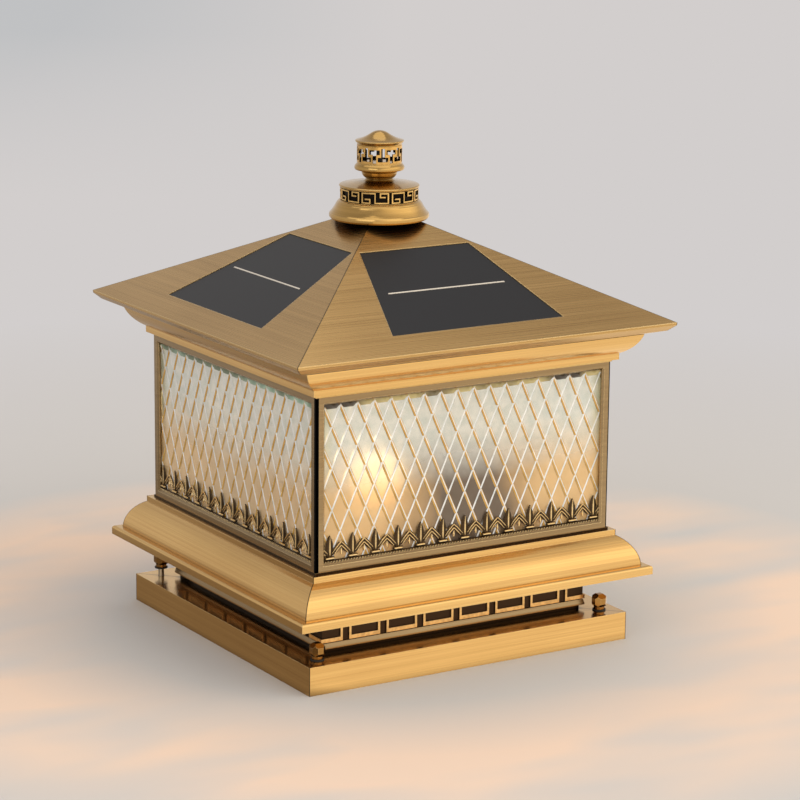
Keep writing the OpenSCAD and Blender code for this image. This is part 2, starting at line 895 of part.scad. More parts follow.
// Lead from the plug to the lamp holder, along the bar and down one corner
lead_corner = mouth_at + 3;
module lead_run(p, q) {
    hull()
        for (end = [p, q])
            translate(end)
                sphere(d = lead_d, $fn = 12);
}

module lamp_lead() {
    z_bar = z_fillet + bar_t + lead_d / 2 + 0.1;
    z_flange = z_fillet + lead_d / 2 + 0.1;
    z_under = z_floor - sheet - lead_d / 2 - 0.1;
    end_r = (holder_d + lead_d) / 2 / sqrt(2);
    route = [
        [0, plug_place + 2 + lead_d / 2, z_bar],
        [0, mouth_at - 8, z_bar],
        [bar_w / 2 + 2, lead_corner, z_bar],
        [bar_w / 2 + 4, lead_corner, z_flange],
        [lead_corner, lead_corner, z_flange],
        [lead_corner, lead_corner, z_under],
        [end_r, end_r, z_under]
    ];
    color("black")
        for (i = [0 : len(route) - 2])
            lead_run(route[i], route[i + 1]);
}

// Plug that stands on the cross bar and its socket under the ceiling plate
plug_size = [10, 6];
plug_top = z_ceiling - 2.5;
socket_depth = 5.7;
module lamp_plug() {
    color("white") {
        translate([-3.5, plug_place - 2, z_fillet + bar_t])
            cube([7, 4, 8]);
        translate([-plug_size[0] / 2, plug_place - plug_size[1] / 2, z_fillet + bar_t + 7.5])
            cube([plug_size[0], plug_size[1], plug_top - z_fillet - bar_t - 7.5]);
    }
}

module roof_socket() {
    wall = 2.5;
    foot = plug_top - socket_depth;
    outer = plug_size + 2 * (wall + slip_gap) * [1, 1];
    inner = plug_size + 2 * slip_gap * [1, 1];
    color("white")
        difference() {
            translate([-outer[0] / 2, plug_place - outer[1] / 2, foot])
                cube([outer[0], outer[1], z_ceiling - foot]);
            translate([-inner[0] / 2, plug_place - inner[1] / 2, foot - 1])
                cube([inner[0], inner[1], socket_depth + slip_gap + 1]);
        }
}

// Places children on the roof face of one side: X along the eave, Y up the slope, Z out of the face
module on_roof(side) {
    on_side(side)
        translate([0, -eave_at, z_eave])
            rotate([pitch, 0, 0])
                children();
}

// A panel's outline, drawn in by gap on all sides
function panel_outline(gap) =
    let (
        lean = (panel_foot_at - panel_top_at) / panel_len,
        shift = gap * sqrt(1 + lean * lean),
        foot = panel_foot_at - lean * gap - shift,
        top = panel_top_at + lean * gap - shift,
        start = panel_start + gap,
        end = panel_start + panel_len - gap
    )
    [[-foot, start], [foot, start], [top, end], [-top, end]];

// Hipped roof in one piece, with a window for each solar panel
module roof_shell() {
    z_soffit = z_cornice + roof_gap - 0.1;
    skin = sheet;
    nose_foot = z_eave - nose_h;
    turn_at = eave_at - 5.5;
    z_turn = z_soffit + 3.7;
    color("darkgoldenrod")
        difference() {
            mitred_ring([
                [0, z_crown], [crown_at, z_crown], [eave_at, z_eave], [eave_at - 0.2, nose_foot],
                [turn_at, z_turn], [soffit_at, z_soffit], [soffit_at - skin, z_soffit],
                [soffit_at - skin, z_ledge], [soffit_at - ledge_w - skin, z_ledge],
                [soffit_at - ledge_w - skin, z_ledge + skin], [turn_at - 3.5, z_ledge + skin],
                [turn_at - 0.7, z_turn + skin * 0.9], [eave_at - skin * 1.3, nose_foot + skin * 0.5],
                [eave_at - skin * 1.3, roof_z(eave_at - skin * 1.3) - sheet_drop],
                [eave_at - (z_crown - skin - z_eave + sheet_drop) / tan(pitch), z_crown - skin],
                [0, z_crown - skin]
            ]);
            rod(rod_d + 2.6, z_crown - 10, 20);
            for (side = [0 : 3])
                on_roof(side)
                    translate([0, 0, -6])
                        linear_extrude(10)
                            polygon(panel_outline(0));
            for (side = [0 : 3], x = [-0.5, 0.5])
                on_side(side)
                    translate([x * soffit_at, -rivet_at, 0])
                        rod(screw_hole, z_ceiling, 5);
        }
}

module solar_panel(side) {
    color("black")
        on_roof(side) {
            translate([0, 0, -panel_sink - panel_t])
                linear_extrude(panel_t)
                    polygon(panel_outline(panel_gap));
            translate([-busbar_at, panel_start + busbar_place - busbar_w / 2, -panel_sink - 0.1])
                cube([2 * busbar_at, busbar_w, 0.3]);
        }
}

// Trays that carry the panels from below
module panel_trays() {
    bed = -panel_sink - panel_t;
    color("dimgray")
        for (side = [0 : 3])
            on_roof(side)
                difference() {
                    translate([0, 0, bed - tray_t])
                        linear_extrude(-sheet - bed + tray_t)
                            polygon(panel_outline(-tray_lip));
                    translate([0, 0, bed])
                        linear_extrude(10)
                            polygon(panel_outline(0));
                }
}

// Plate that closes the roof from below: four equal leaves, laid like a pinwheel round the tie rod
module ceiling_plate() {
    reach = soffit_at - sheet - 0.1;
    hole = rod_d / 2 + 1.5;
    slit = 0.2;
    color("gainsboro")
        difference() {
            on_sides()
                translate([-reach, -reach, z_ceiling])
                    cube([reach + hole - slit, reach - hole, ceiling_t]);
            translate([-switch_place, 0, 0])
                rod(button_d + 4.2, z_ceiling - 1, 5);
            for (side = [0 : 3], x = [-0.5, 0.5])
                on_side(side)
                    translate([x * soffit_at, -rivet_at, 0])
                        rod(screw_hole, z_ceiling - 1, 5);
        }
}

module ceiling_rivets() {
    color("silver")
        for (side = [0 : 3], x = [-0.5, 0.5])
            on_side(side)
                translate([x * soffit_at, -rivet_at, 0]) {
                    rod(screw_d, z_ceiling, ceiling_t + sheet);
                    rod(head_d, z_ledge + sheet, 1.2);
                }
}

// Box for the cells and the controller, beside the tie rod
box_wall = 2;
module battery_box() {
    color("black")
        translate([box_start, -box_size[1] / 2, z_ledge])
            difference() {
                cube(box_size);
                translate([box_wall, box_wall, box_wall])
                    cube(box_size - [2 * box_wall, 2 * box_wall, 0]);
            }
}

module battery_lid() {
    color("black")
        translate([box_start, -box_size[1] / 2, z_ledge + box_size[2]])
            cube([box_size[0], box_size[1], box_wall]);
}

module battery_cells() {
    color("steelblue")
        for (row = [0, 1])
            translate([
                box_start + box_wall + 1,
                -box_size[1] / 2 + box_wall + 0.5 + cell_d / 2 + row * (cell_d + 0.6),
                z_ledge + box_wall + cell_d / 2
            ])
                rotate([0, 90, 0])
                    cylinder(d = cell_d, h = cell_len);
}

module controller_board() {
    y = -box_size[1] / 2 + box_wall + 2.6 + 2 * cell_d;
    board_t = 1.6;
    board_len = box_size[0] - 2 * box_wall;
    board_h = box_size[2] - 4 * box_wall;
    chip_pitch = board_len / 4;
    chip = [0.43 * chip_pitch, 3, board_h / 2];
    color("green")
        translate([box_start + box_wall, y, z_ledge + box_wall]) {
            cube([board_len, board_t, board_h]);
            for (k = [0 : 3])
                translate([(k + 0.5) * chip_pitch - chip[0] / 2, board_t, board_h / 4])
                    cube(chip);
        }
}

// Push switch through the ceiling plate, with its flange below
switch_flange_t = 1.5;
module switch_body() {
    color("black")
        translate([-switch_place, 0, 0])
            difference() {
                union() {
                    rod(button_d + 8, z_ceiling - switch_flange_t, switch_flange_t);
                    rod(button_d + 4, z_ceiling, 14);
                    translate([0, 0, z_ledge])
                        cylinder(d = button_d + 9, h = 2.5, $fn = 6);
                }
                rod(button_d + 2 * run_gap, z_ceiling - 5, 15);
            }
}

module switch_button() {
    color("red")
        translate([-switch_place, 0, 0])
            rod(button_d, z_ceiling - switch_flange_t - 2.5, 10.5);
}

module finial_gasket() {
    color("black")
        difference() {
            rod(crown_w - 8, z_crown, gasket_t);
            rod(rod_d + 2.6, z_crown - 1, far);
        }
}

// Stepped flange of the finial, spun from sheet, with a web that sits on the gasket
module finial_base() {
    r = flange_d / 2;
    neck = drum_d / 2 + 0.6;
    bore = rod_d / 2 + run_gap;
    web = 2.2;
    lip = z_finial - 0.6;
    color("goldenrod")
        rotate_extrude()
            polygon(concat(
                [[bore, z_finial], [r - 3.6, z_finial], [r - 2.9, lip], [r - 1.4, lip]],
                bow([r - 0.2, lip + 1.4], [r - 0.5, z_finial + 3.7], -0.2, 4),
                bow([r - 1.4, z_finial + 4.5], [neck + 2.4, z_drum - 2.4], 0.3, 6),
                bow([neck + 1.9, z_drum - 1.9], [neck - 0.2, z_drum], -0.3, 4),
                [[drum_d / 2 - 6, z_drum], [drum_d / 2 - 6, z_drum - 1.6], [neck - 0.6, z_drum - 1.6]],
                [[r - 3.4, z_finial + 4.2], [r - 3.4, z_finial + web], [bore, z_finial + web]]
            ));
}

// One square spiral of the meander, from its free end to half of the bar that links it to the next
module spiral(unit_w, unit_h) {
    w = hook_w;
    reach = unit_w * 0.66;
    square([w, unit_h]);
    translate([0, unit_h - w])
        square([unit_w, w]);
    square([reach, w]);
    translate([reach - w, 0])
        square([w, unit_h * 0.46]);
    translate([unit_w * 0.24, unit_h * 0.46 - w])
        square([reach - unit_w * 0.24, w]);
    translate([unit_w - w / 2, 0])
        square([w, unit_h]);
}

// Drum with a meander left standing: pairs of spirals, the second turned over
module key_ring() {
    outer = drum_d / 2;
    inner = outer - hook_proud;
    share = 2 * outer * tan(180 / hook_count);
    pocket_h = drum_h - 0.8;
    unit_w = share - 1.3;
    unit_h = pocket_h - 1.2;
    color("darkgoldenrod")
        difference() {
            rod(2 * outer, z_drum, drum_h);
            rod(2 * inner - 3.2, z_drum - 1, drum_h + 2);
            for (k = [0 : hook_count - 1])
                rotate([0, 0, 360 / hook_count * (k + 0.5) + key_turn])
                    translate([0, 0, z_drum + drum_h / 2])
                        rotate([0, k % 2 == 0 ? 0 : 180, 0])
                            upright(inner, hook_proud + 2)
                                difference() {
                                    translate([-share / 2 - 0.2, -pocket_h / 2])
                                        square([share + 0.2, pocket_h]);
                                    translate([share / 2 - unit_w, -unit_h / 2])
                                        spiral(unit_w, unit_h);
                                }
        }
}

// Round lid of the drum, with a short neck
module finial_lid() {
    edge = drum_d / 2 + 0.8;
    neck = lid_neck_d / 2;
    color("goldenrod")
        rotate_extrude()
            polygon(concat(
                [[stem_r + hole_gap, z_lid], [edge - 0.4, z_lid], [edge, z_lid + 0.5], [edge, z_lid + 1.2]],
                [[edge - 0.7, z_lid + 1.7]],
                bow([neck + 3.6, z_cup - 2.2], [neck, z_cup], 0.6, 5),
                [[stem_r + hole_gap, z_cup]]
            ));
}

module lantern_cup() {
    r = cup_d / 2;
    neck = lid_neck_d / 2;
    seat = ring_d / 2;
    color("goldenrod")
        rotate_extrude()
            polygon(concat(
                [[stem_r + hole_gap, z_cup]],
                bow([neck, z_cup], [neck + 3.8, z_cup + 5.3], -0.8, 5),
                bow([neck + 4.2, z_cup + 5.9], [r - 0.4, z_cup + 7.3], 0.3, 4),
                bow([r, z_cup + 8.1], [r - 0.7, z_cup + 11], -0.3, 4),
                [[seat, z_cup + cup_h - 1], [seat, z_ring], [stem_r + hole_gap, z_ring]]
            ));
}

// Ring pierced with T openings, alternately upright and turned over
module t_ring() {
    height = ring_h - 2 - tee_shift;
    bar = height * 0.34;
    bar_len = PI * ring_d / tee_count * 1.2;
    stem_w = PI * ring_d / tee_count * 0.42;
    color("goldenrod")
        difference() {
            rod(ring_d, z_ring, ring_h);
            rod(ring_d - 2 * ring_wall, z_ring - 1, ring_h + 2);
            for (k = [0 : tee_count - 1])
                rotate([0, 0, 360 / tee_count * (k + 0.5) + tee_turn])
                    translate([0, 0, z_ring + ring_h / 2 - 0.3 + (k % 2 == 0 ? 0.5 : -0.5) * tee_shift])
                        rotate([0, k % 2 == 0 ? 0 : 180, 0])
                            upright(ring_d / 2 - ring_wall - 1.5, ring_wall + 3) {
                                translate([-bar_len / 2, -height / 2])
                                    square([bar_len, bar]);
                                translate([-stem_w / 2, -height / 2])
                                    square([stem_w, height]);
                            }
        }
}

// Cap with an ogee roof
module finial_cap() {
    r = cap_d / 2;
    rim_h = 3.6;
    dome = [0.385 * r, z_cap + 0.776 * cap_h];
    color("goldenrod")
        rotate_extrude()
            polygon(concat(
                [[0, z_cap + 2.6], [stem_r + hole_gap, z_cap + 2.6], [stem_r + hole_gap, z_cap]],
                bow([r - 1.6, z_cap], [r - 0.2, z_cap + rim_h - 1], 0.35, 4),
                [[r, z_cap + rim_h - 0.6], [r, z_cap + rim_h], [r - 0.4, z_cap + rim_h + 0.3]],
                bow([r - 0.8, z_cap + rim_h + 0.4], dome + [0.2, -0.1], 0.6, 6),
                bow(dome, [0, z_cap + cap_h], -0.64, 6)
            ));
}

// Stem that holds the finial together and is screwed onto the tie rod
stem_r = 2.5;
module finial_stem() {
    boss_r = 7;
    foot = z_finial + 2.2;
    color("silver")
        difference() {
            union() {
                rod(2 * boss_r, foot, z_lid - foot);
                rod(2 * stem_r, z_lid - 1, z_cap + 2.6 - z_lid + 1);
            }
            rod(rod_d + 2 * run_gap, foot - 1, rod_top + 2 - foot + 1);
        }
}

mounting_bracket();
base_cover();
neck_box();
key_fret_band();
neck_moulding();
skirt_plate();
skirt_shell();
floor_plate();
case_screws();
corner_posts();
glass_frames();
for (i = [0 : 3])
    glass_pane(i);
palmette_strips();
glazing_seals();
cornice_ring();
weather_seal();
cross_bar();
tie_rod();
rod_nuts();
lamp_holder();
lamp_plug();
lamp_lead();
roof_shell();
for (i = [0 : 3])
    solar_panel(i);
panel_trays();
ceiling_plate();
ceiling_rivets();
battery_box();
battery_lid();
battery_cells();
controller_board();
switch_body();
roof_socket();
finial_gasket();
finial_base();
key_ring();
finial_lid();
lantern_cup();
t_ring();
finial_cap();
finial_stem();
bulb_cap();
bulb_base();
bulb_glass();
bulb_filaments();
switch_button();
for (n = NUTS) {
    ball_nut(n);
    nut_washer(n);
}
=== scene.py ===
# %% [markdown]
# # A square post light in antique brass
# The lantern's solids come packed from its CAD source: base cover, neck, skirt, panes, cornice, roof and
# turned finial. This lesson dresses them. Each step says what the finish is on the real lamp, how it could
# be made in Blender, and why this way was chosen. All lengths are metres, with the origin in the middle of
# the base cover's underside and the front pane towards -Y.

import math
from collections import namedtuple

import bmesh
import bpy
from mathutils import Matrix, Vector


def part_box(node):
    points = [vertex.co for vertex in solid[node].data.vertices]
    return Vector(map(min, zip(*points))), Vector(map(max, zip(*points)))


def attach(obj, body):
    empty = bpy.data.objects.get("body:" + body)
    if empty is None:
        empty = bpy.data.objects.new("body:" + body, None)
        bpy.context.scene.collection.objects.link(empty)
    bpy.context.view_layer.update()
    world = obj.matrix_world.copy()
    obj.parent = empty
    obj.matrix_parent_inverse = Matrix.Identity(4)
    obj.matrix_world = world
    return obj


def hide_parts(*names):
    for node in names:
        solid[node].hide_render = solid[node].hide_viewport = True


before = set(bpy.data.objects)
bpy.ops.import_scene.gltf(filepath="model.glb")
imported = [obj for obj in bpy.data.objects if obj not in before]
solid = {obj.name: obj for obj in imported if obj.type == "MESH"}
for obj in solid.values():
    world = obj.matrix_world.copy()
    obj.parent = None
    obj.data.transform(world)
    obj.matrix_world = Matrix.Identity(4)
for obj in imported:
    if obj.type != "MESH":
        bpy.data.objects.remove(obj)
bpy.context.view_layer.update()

# %% [markdown]
# ## Camera
# The photograph was taken with a long lens from the left of the front pane and a little above. A camera can
# be aimed with a Track To constraint, but its small roll is then hard to set. Its axes are worked out from
# azimuth, elevation and roll instead, and go into its matrix directly.

# %% Place the camera
CAMERA_PLACE = Vector((-1.2414, -2.0636, 0.7458))
CAMERA_AZIMUTH = math.radians(-31.4685)
CAMERA_ELEVATION = math.radians(13.0153)
CAMERA_ROLL = math.radians(0.5134)
FOCAL_PIXELS = 2986.05
IMAGE_PIXELS = 800

back = Vector((
    math.sin(CAMERA_AZIMUTH) * math.cos(CAMERA_ELEVATION),
    -math.cos(CAMERA_AZIMUTH) * math.cos(CAMERA_ELEVATION),
    math.sin(CAMERA_ELEVATION),
))
level = Vector((math.cos(CAMERA_AZIMUTH), math.sin(CAMERA_AZIMUTH), 0))
upward = back.cross(level)
right = level * math.cos(CAMERA_ROLL) + upward * math.sin(CAMERA_ROLL)
top = upward * math.cos(CAMERA_ROLL) - level * math.sin(CAMERA_ROLL)

camera_data = bpy.data.cameras.new("camera")
camera_data.sensor_width = 36
camera_data.lens = FOCAL_PIXELS / IMAGE_PIXELS * camera_data.sensor_width
camera_data.clip_start = 0.05
camera_data.clip_end = 60
camera = bpy.data.objects.new("camera", camera_data)
bpy.context.scene.collection.objects.link(camera)
camera.matrix_world = Matrix((
    (right.x, top.x, back.x, CAMERA_PLACE.x),
    (right.y, top.y, back.y, CAMERA_PLACE.y),
    (right.z, top.z, back.z, CAMERA_PLACE.z),
    (0, 0, 0, 1),
))
bpy.context.scene.camera = camera
bpy.context.scene.view_settings.view_transform = "Standard"
print("lens:", round(camera_data.lens, 2), "mm")

# %% [markdown]
# ## Tools for building materials
# Each finish here is a small network of shader nodes. Written out in full, a network hides its idea, so a few
# helpers keep it short. The first makes a node with its settings and its inputs. The others build on it, for
# one step of arithmetic, a mix of two colours or shaders, a ramp, stretched noise, and a material's start and
# end. The lamp is square, so most of its patterns need only how far out a point is from the middle, how far
# along its side, and how high. One helper works these out. Where a ramp is given a pair of values, the first
# is where it starts and the second where it is full.

# %% Material helpers
def add(tree, kind, inputs=None, **settings):
    """Makes a node. An input may be a number, a colour or another node's output."""
    node = tree.nodes.new(kind)
    for name, value in settings.items():
        setattr(node, name, value)
    for name, value in (inputs or {}).items():
        if isinstance(value, bpy.types.NodeSocket):
            tree.links.new(value, node.inputs[name])
        else:
            node.inputs[name].default_value = value
    return node


def calc(tree, operation, *values):
    """One step of arithmetic."""
    return add(tree, "ShaderNodeMath", dict(enumerate(values)), operation=operation).outputs[0]


def blend_colour(tree, share, first, second):
    """Mixes two colours."""
    node = add(tree, "ShaderNodeMix", data_type="RGBA")
    for socket, value in ((node.inputs[0], share), (node.inputs[6], first), (node.inputs[7], second)):
        if isinstance(value, bpy.types.NodeSocket):
            tree.links.new(value, socket)
        else:
            socket.default_value = value
    return node.outputs[2]


def along_axis(tree, vector, direction):
    """How far a vector reaches along a direction."""
    node = add(tree, "ShaderNodeVectorMath", {0: vector, 1: direction}, operation="DOT_PRODUCT")
    return node.outputs["Value"]


def start_material(name):
    """An empty material, its node tree and the object's own coordinates."""
    material = bpy.data.materials.new(name)
    material.use_nodes = True
    tree = material.node_tree
    tree.nodes.clear()
    place = add(tree, "ShaderNodeTexCoord").outputs["Object"]
    return material, tree, place


def end_material(tree, shader):
    """Joins a shader to the material's output."""
    output = add(tree, "ShaderNodeOutputMaterial")
    tree.links.new(shader.outputs[0], output.inputs["Surface"])


def mix_shaders(tree, share, first, second):
    """Shows the first shader, and the second one by its share."""
    return add(tree, "ShaderNodeMixShader", {0: share, 1: first.outputs[0], 2: second.outputs[0]})


def ramp(tree, value, low, high):
    """Turns value into 0 at low and 1 at high."""
    node = add(tree, "ShaderNodeMapRange", {"Value": value, "From Min": low, "From Max": high})
    return node.outputs[0]


def grain(tree, place, scale, detail=2.0, seed=0.0):
    """Noise stretched by three scales, one for each axis. A seed moves it to another place."""
    shift = (seed, seed, seed)
    stretched = add(tree, "ShaderNodeMapping", {"Vector": place, "Scale": scale, "Location": shift})
    noise = add(tree, "ShaderNodeTexNoise", {"Vector": stretched.outputs[0], "Scale": 1.0, "Detail": detail})
    return noise.outputs["Fac"]


Spot = namedtuple("Spot", ("out", "along", "height", "on_side"))


def find_spot(tree, place):
    """Where a point is on the square lamp. On_side is 1 on its right and left sides and 0 elsewhere."""
    axes = add(tree, "ShaderNodeSeparateXYZ", {0: place})
    wide = calc(tree, "ABSOLUTE", axes.outputs[0])
    deep = calc(tree, "ABSOLUTE", axes.outputs[1])
    return Spot(
        out=calc(tree, "MAXIMUM", wide, deep),
        along=calc(tree, "MINIMUM", wide, deep),
        height=axes.outputs[2],
        on_side=calc(tree, "GREATER_THAN", wide, deep),
    )


def finish_with(material, *names):
    """Gives a material to the named solids or pieces."""
    for name in names:
        piece = solid.get(name) or bpy.data.objects[name]
        piece.data.materials.clear()
        piece.data.materials.append(material)


print("helpers are ready")

# %% [markdown]
# ## Antique brass
# The sheet parts are brass, brushed along their length, darkened and lacquered. Brushing shows as fine level
# lines that catch the light, and handling wears the edges bright. On top of that, the edges get a painted
# highlight, and the corners and the gaps between parts get painted shade. An image of brushed metal would
# stretch over the slopes, so the lines come from noise that is long along X and Y and very short along Z. A
# Bevel node finds the edges, because it bends the normal only there, and an Ambient Occlusion node finds the
# corners, because little light reaches them. A mitred shell also shows the thin dark line of its joint, where
# the distances from the two middle planes are the same.

# %% Sizes of the brass pattern
FINE_LINES = (6, 6, 2400)
BROAD_LINES = (2, 2, 420)
CLOUDS = (7, 7, 9)
TONE_SPAN = (0.32, 0.68)
BRUSHED_ROUGHNESS = 0.16
# Painted corner shade: how far the Ambient Occlusion looks, and where the shade starts and where it is full.
CORNER_SHADE_REACH = 0.012
SHELTERED = (0.72, 0.25)
IN_THE_OPEN = (0.45, 0.75)
# How dark the painted corner shade is, beside the dark brush colour.
CORNER_SHADE_DEPTH = 0.16
# Worn edges with a painted highlight: how far the normal bends, the highlight's share and its colour.
EDGE_BEND = (0.985, 0.86)
EDGE_SHARE = 0.75
WORN_AND_HIGHLIT_EDGE = (1.0, 0.78, 0.42, 1)
MITRE_WIDTH = (0.0007, 0.0004)
MITRE_SHARE = 0.85
MITRE_COLOUR = (0.03, 0.016, 0.008, 1)
SLOT_COLOUR = (0.004, 0.003, 0.003, 1)
print("fine brush lines in a millimetre:", FINE_LINES[2] / 1000)


# %% Brushed brass
def brushed_brass(name, dark, light, rough, edge=WORN_AND_HIGHLIT_EDGE, edge_width=0.0006, mitre=False, corner_shade=0.8,
                  slot_from=None):
    """Brass with level brush lines, worn edges painted brighter, painted corner shade, and a dark mitre or
    slot if asked.
    """
    material, tree, place = start_material(name)
    fine = grain(tree, place, FINE_LINES, 3.0)
    broad = grain(tree, place, BROAD_LINES, 2.0, 3.0)
    cloud = grain(tree, place, CLOUDS, 2.0, 8.0)
    lines = calc(tree, "ADD", calc(tree, "MULTIPLY", fine, 0.6), calc(tree, "MULTIPLY", broad, 0.4))
    tone = calc(tree, "ADD", calc(tree, "MULTIPLY", lines, 0.7), calc(tree, "MULTIPLY", cloud, 0.3))
    colour = blend_colour(tree, ramp(tree, tone, *TONE_SPAN), dark, light)
    # Painted shade: the colour darkens where the Ambient Occlusion node finds little light, in corners and
    # between parts.
    openness = add(tree, "ShaderNodeAmbientOcclusion", {"Distance": CORNER_SHADE_REACH}, samples=4).outputs["AO"]
    corner = calc(tree, "MULTIPLY", ramp(tree, openness, *SHELTERED), corner_shade)
    colour = blend_colour(tree, corner, colour, [CORNER_SHADE_DEPTH * c for c in dark[:3]] + [1])
    # Worn edges with a painted highlight: where the Bevel node bends the normal, the colour is made brighter.
    soft = add(tree, "ShaderNodeBevel", {"Radius": edge_width}, samples=4)
    normal = add(tree, "ShaderNodeNewGeometry").outputs["Normal"]
    bent = ramp(tree, along_axis(tree, soft.outputs[0], normal), *EDGE_BEND)
    worn_and_highlit = calc(tree, "MULTIPLY", bent, ramp(tree, openness, *IN_THE_OPEN))
    colour = blend_colour(tree, calc(tree, "MULTIPLY", worn_and_highlit, EDGE_SHARE), colour, edge)
    spot = find_spot(tree, place)
    if slot_from is not None:
        in_slot = calc(tree, "GREATER_THAN", spot.along, slot_from)
        colour = blend_colour(tree, in_slot, colour, SLOT_COLOUR)
    if mitre:
        joint = ramp(tree, calc(tree, "SUBTRACT", spot.out, spot.along), *MITRE_WIDTH)
        colour = blend_colour(tree, calc(tree, "MULTIPLY", joint, MITRE_SHARE), colour, MITRE_COLOUR)
    uneven = calc(tree, "MULTIPLY", calc(tree, "SUBTRACT", fine, 0.5), BRUSHED_ROUGHNESS)
    roughness = calc(tree, "ADD", rough, uneven)
    bump = add(tree, "ShaderNodeBump", {
        "Height": lines, "Strength": 0.06, "Distance": 0.0004, "Normal": soft.outputs[0],
    })
    shader = add(tree, "ShaderNodeBsdfPrincipled", {
        "Base Color": colour, "Metallic": 1.0, "Roughness": roughness, "Normal": bump.outputs[0],
        "Coat Weight": 0.12, "Coat Roughness": 0.25,
    })
    end_material(tree, shader)
    return material


# %% [markdown]
# ## Four tones of one metal
# The tones are painted light and shade. The roof is painted the dullest and the frames darker still, and the
# skirt and the base are painted lightest, where they catch the most light. One material for all would be
# flat, so the same function makes four tones, each with a darker and a lighter colour for its brush lines.
# The frames' outer corners are in the slot's shade, so they are painted black.

# %% Tones of brass
FRAME_SLOT_FROM = 0.1353

# Lit and shaded copies of one brass: painted light and shade.
brass = brushed_brass("antique_brass", (0.64, 0.38, 0.13, 1), (0.88, 0.58, 0.23, 1), 0.22)
lit_brass_mitred = brushed_brass("antique_brass_mitred_lit", (0.62, 0.36, 0.12, 1), (0.88, 0.57, 0.22, 1), 0.2,
                             mitre=True)
shaded_brass_roof = brushed_brass("antique_brass_roof_shaded", (0.45, 0.27, 0.095, 1), (0.66, 0.42, 0.165, 1), 0.28,
                           edge_width=0.0012, mitre=True)
shaded_brass_frame = brushed_brass("antique_brass_frame_shaded", (0.27, 0.18, 0.09, 1), (0.42, 0.3, 0.16, 1), 0.24,
                            slot_from=FRAME_SLOT_FROM)
finish_with(brass, "cornice_ring", "skirt_plate")
finish_with(lit_brass_mitred, "base_cover", "skirt_shell")
finish_with(shaded_brass_roof, "roof_shell")
finish_with(shaded_brass_frame, "glass_frames", "neck_moulding")
print("materials so far:", len(bpy.data.materials))

# %% [markdown]
# ## Turned brass
# The finial is spun and polished on a lathe, so it is smoother than the sheet and more golden, and its faint
# lines run round it. The same level noise gives those lines, because the finial's axis is Z.

# %% Finial brass
FINE_EDGE = 0.0003

finial_brass = brushed_brass("finial_brass", (0.42, 0.25, 0.07, 1), (0.68, 0.42, 0.14, 1), 0.15,
                             edge_width=FINE_EDGE)
finish_with(finial_brass, "finial_base", "finial_lid", "lantern_cup", "finial_cap")
print("polished:", finial_brass.name)

# %% [markdown]
# ## Pierced and raised patterns
# The key drum and the key band are cast with a raised pattern, and the ground behind it is coloured near
# black.
# Two materials on one solid would need its faces sorted. The depth itself tells the two apart: the distance
# from the axis on the drum, and from the middle plane on the square band.

# %% Brass over a dark ground
STEP_BLUR = 0.0002


def raised_brass(name, round_band, depth, light, ground):
    """Bright brass further out than depth, and the dark ground behind."""
    material, tree, place = start_material(name)
    if round_band:
        axes = add(tree, "ShaderNodeSeparateXYZ", {0: place})
        out = calc(tree, "SQRT", calc(tree, "ADD", calc(tree, "POWER", axes.outputs[0], 2.0),
                                      calc(tree, "POWER", axes.outputs[1], 2.0)))
    else:
        out = find_spot(tree, place).out
    raised = ramp(tree, out, depth - STEP_BLUR, depth + STEP_BLUR)
    speck = grain(tree, place, (300, 300, 300), 2.0)
    shade = blend_colour(tree, ramp(tree, speck, 0.35, 0.65), [0.75 * c for c in light[:3]] + [1], light)
    colour = blend_colour(tree, raised, ground, shade)
    soft = add(tree, "ShaderNodeBevel", {"Radius": FINE_EDGE}, samples=4)
    shader = add(tree, "ShaderNodeBsdfPrincipled", {
        "Base Color": colour, "Metallic": 1.0, "Normal": soft.outputs[0],
        "Roughness": calc(tree, "SUBTRACT", 0.5, calc(tree, "MULTIPLY", raised, 0.25)),
    })
    end_material(tree, shader)
    return material


DRUM_FACE = 0.0314
TEE_FACE = 0.0178
BAND_FACE = 0.1249

drum_brass = raised_brass("drum_brass", True, DRUM_FACE, (0.85, 0.55, 0.2, 1), (0.012, 0.009, 0.007, 1))
tee_brass = raised_brass("tee_brass", True, TEE_FACE, (0.8, 0.48, 0.15, 1), (0.006, 0.005, 0.004, 1))
band_brass = raised_brass("band_brass", False, BAND_FACE, (0.8, 0.5, 0.21, 1), (0.06, 0.035, 0.02, 1))
finish_with(drum_brass, "key_ring")
finish_with(tee_brass, "t_ring")
finish_with(band_brass, "key_fret_band")
print("patterned:", drum_brass.name, tee_brass.name, band_brass.name)

# %% [markdown]
# ## Dark polished bronze
# The neck and the lantern's floor are the same brass, left nearly black-brown and polished, so they mirror
# what stands round them. The brushed brass function does this too, with near-black colours.

# %% Bronze
bronze = brushed_brass("dark_bronze", (0.022, 0.012, 0.006, 1), (0.05, 0.028, 0.012, 1), 0.16,
                       edge=(0.5, 0.36, 0.18, 1))
finish_with(bronze, "neck_box", "floor_plate")
print("dark:", bronze.name)

# %% [markdown]
# ## Pressed glass
# The panes are clear soda glass, pressed so that a lattice of rounded ribs stands on the outer face, while
# the inner face is slightly rough and blurs what is behind. A rib takes its light from the side, so one side
# of a falling rib is painted with the gold of the lantern and the other with the white of the sky, as painted
# reflections. Toward its foot a pane mirrors the brass below it: golden, with a dark patch in the middle of
# the front and the back. Its top strip mirrors the inside of the cornice. Such mirror pictures could come
# from a modelled studio, but would leave the glass when the lamp is turned, so they are painted reflections:
# tints that stay with the pane.
#
# Light has to pass through for the bulb to light the inside, and glass in a path tracer blocks shadow rays.
# So the material is true glass for what is seen, and plain see-through for shadows.

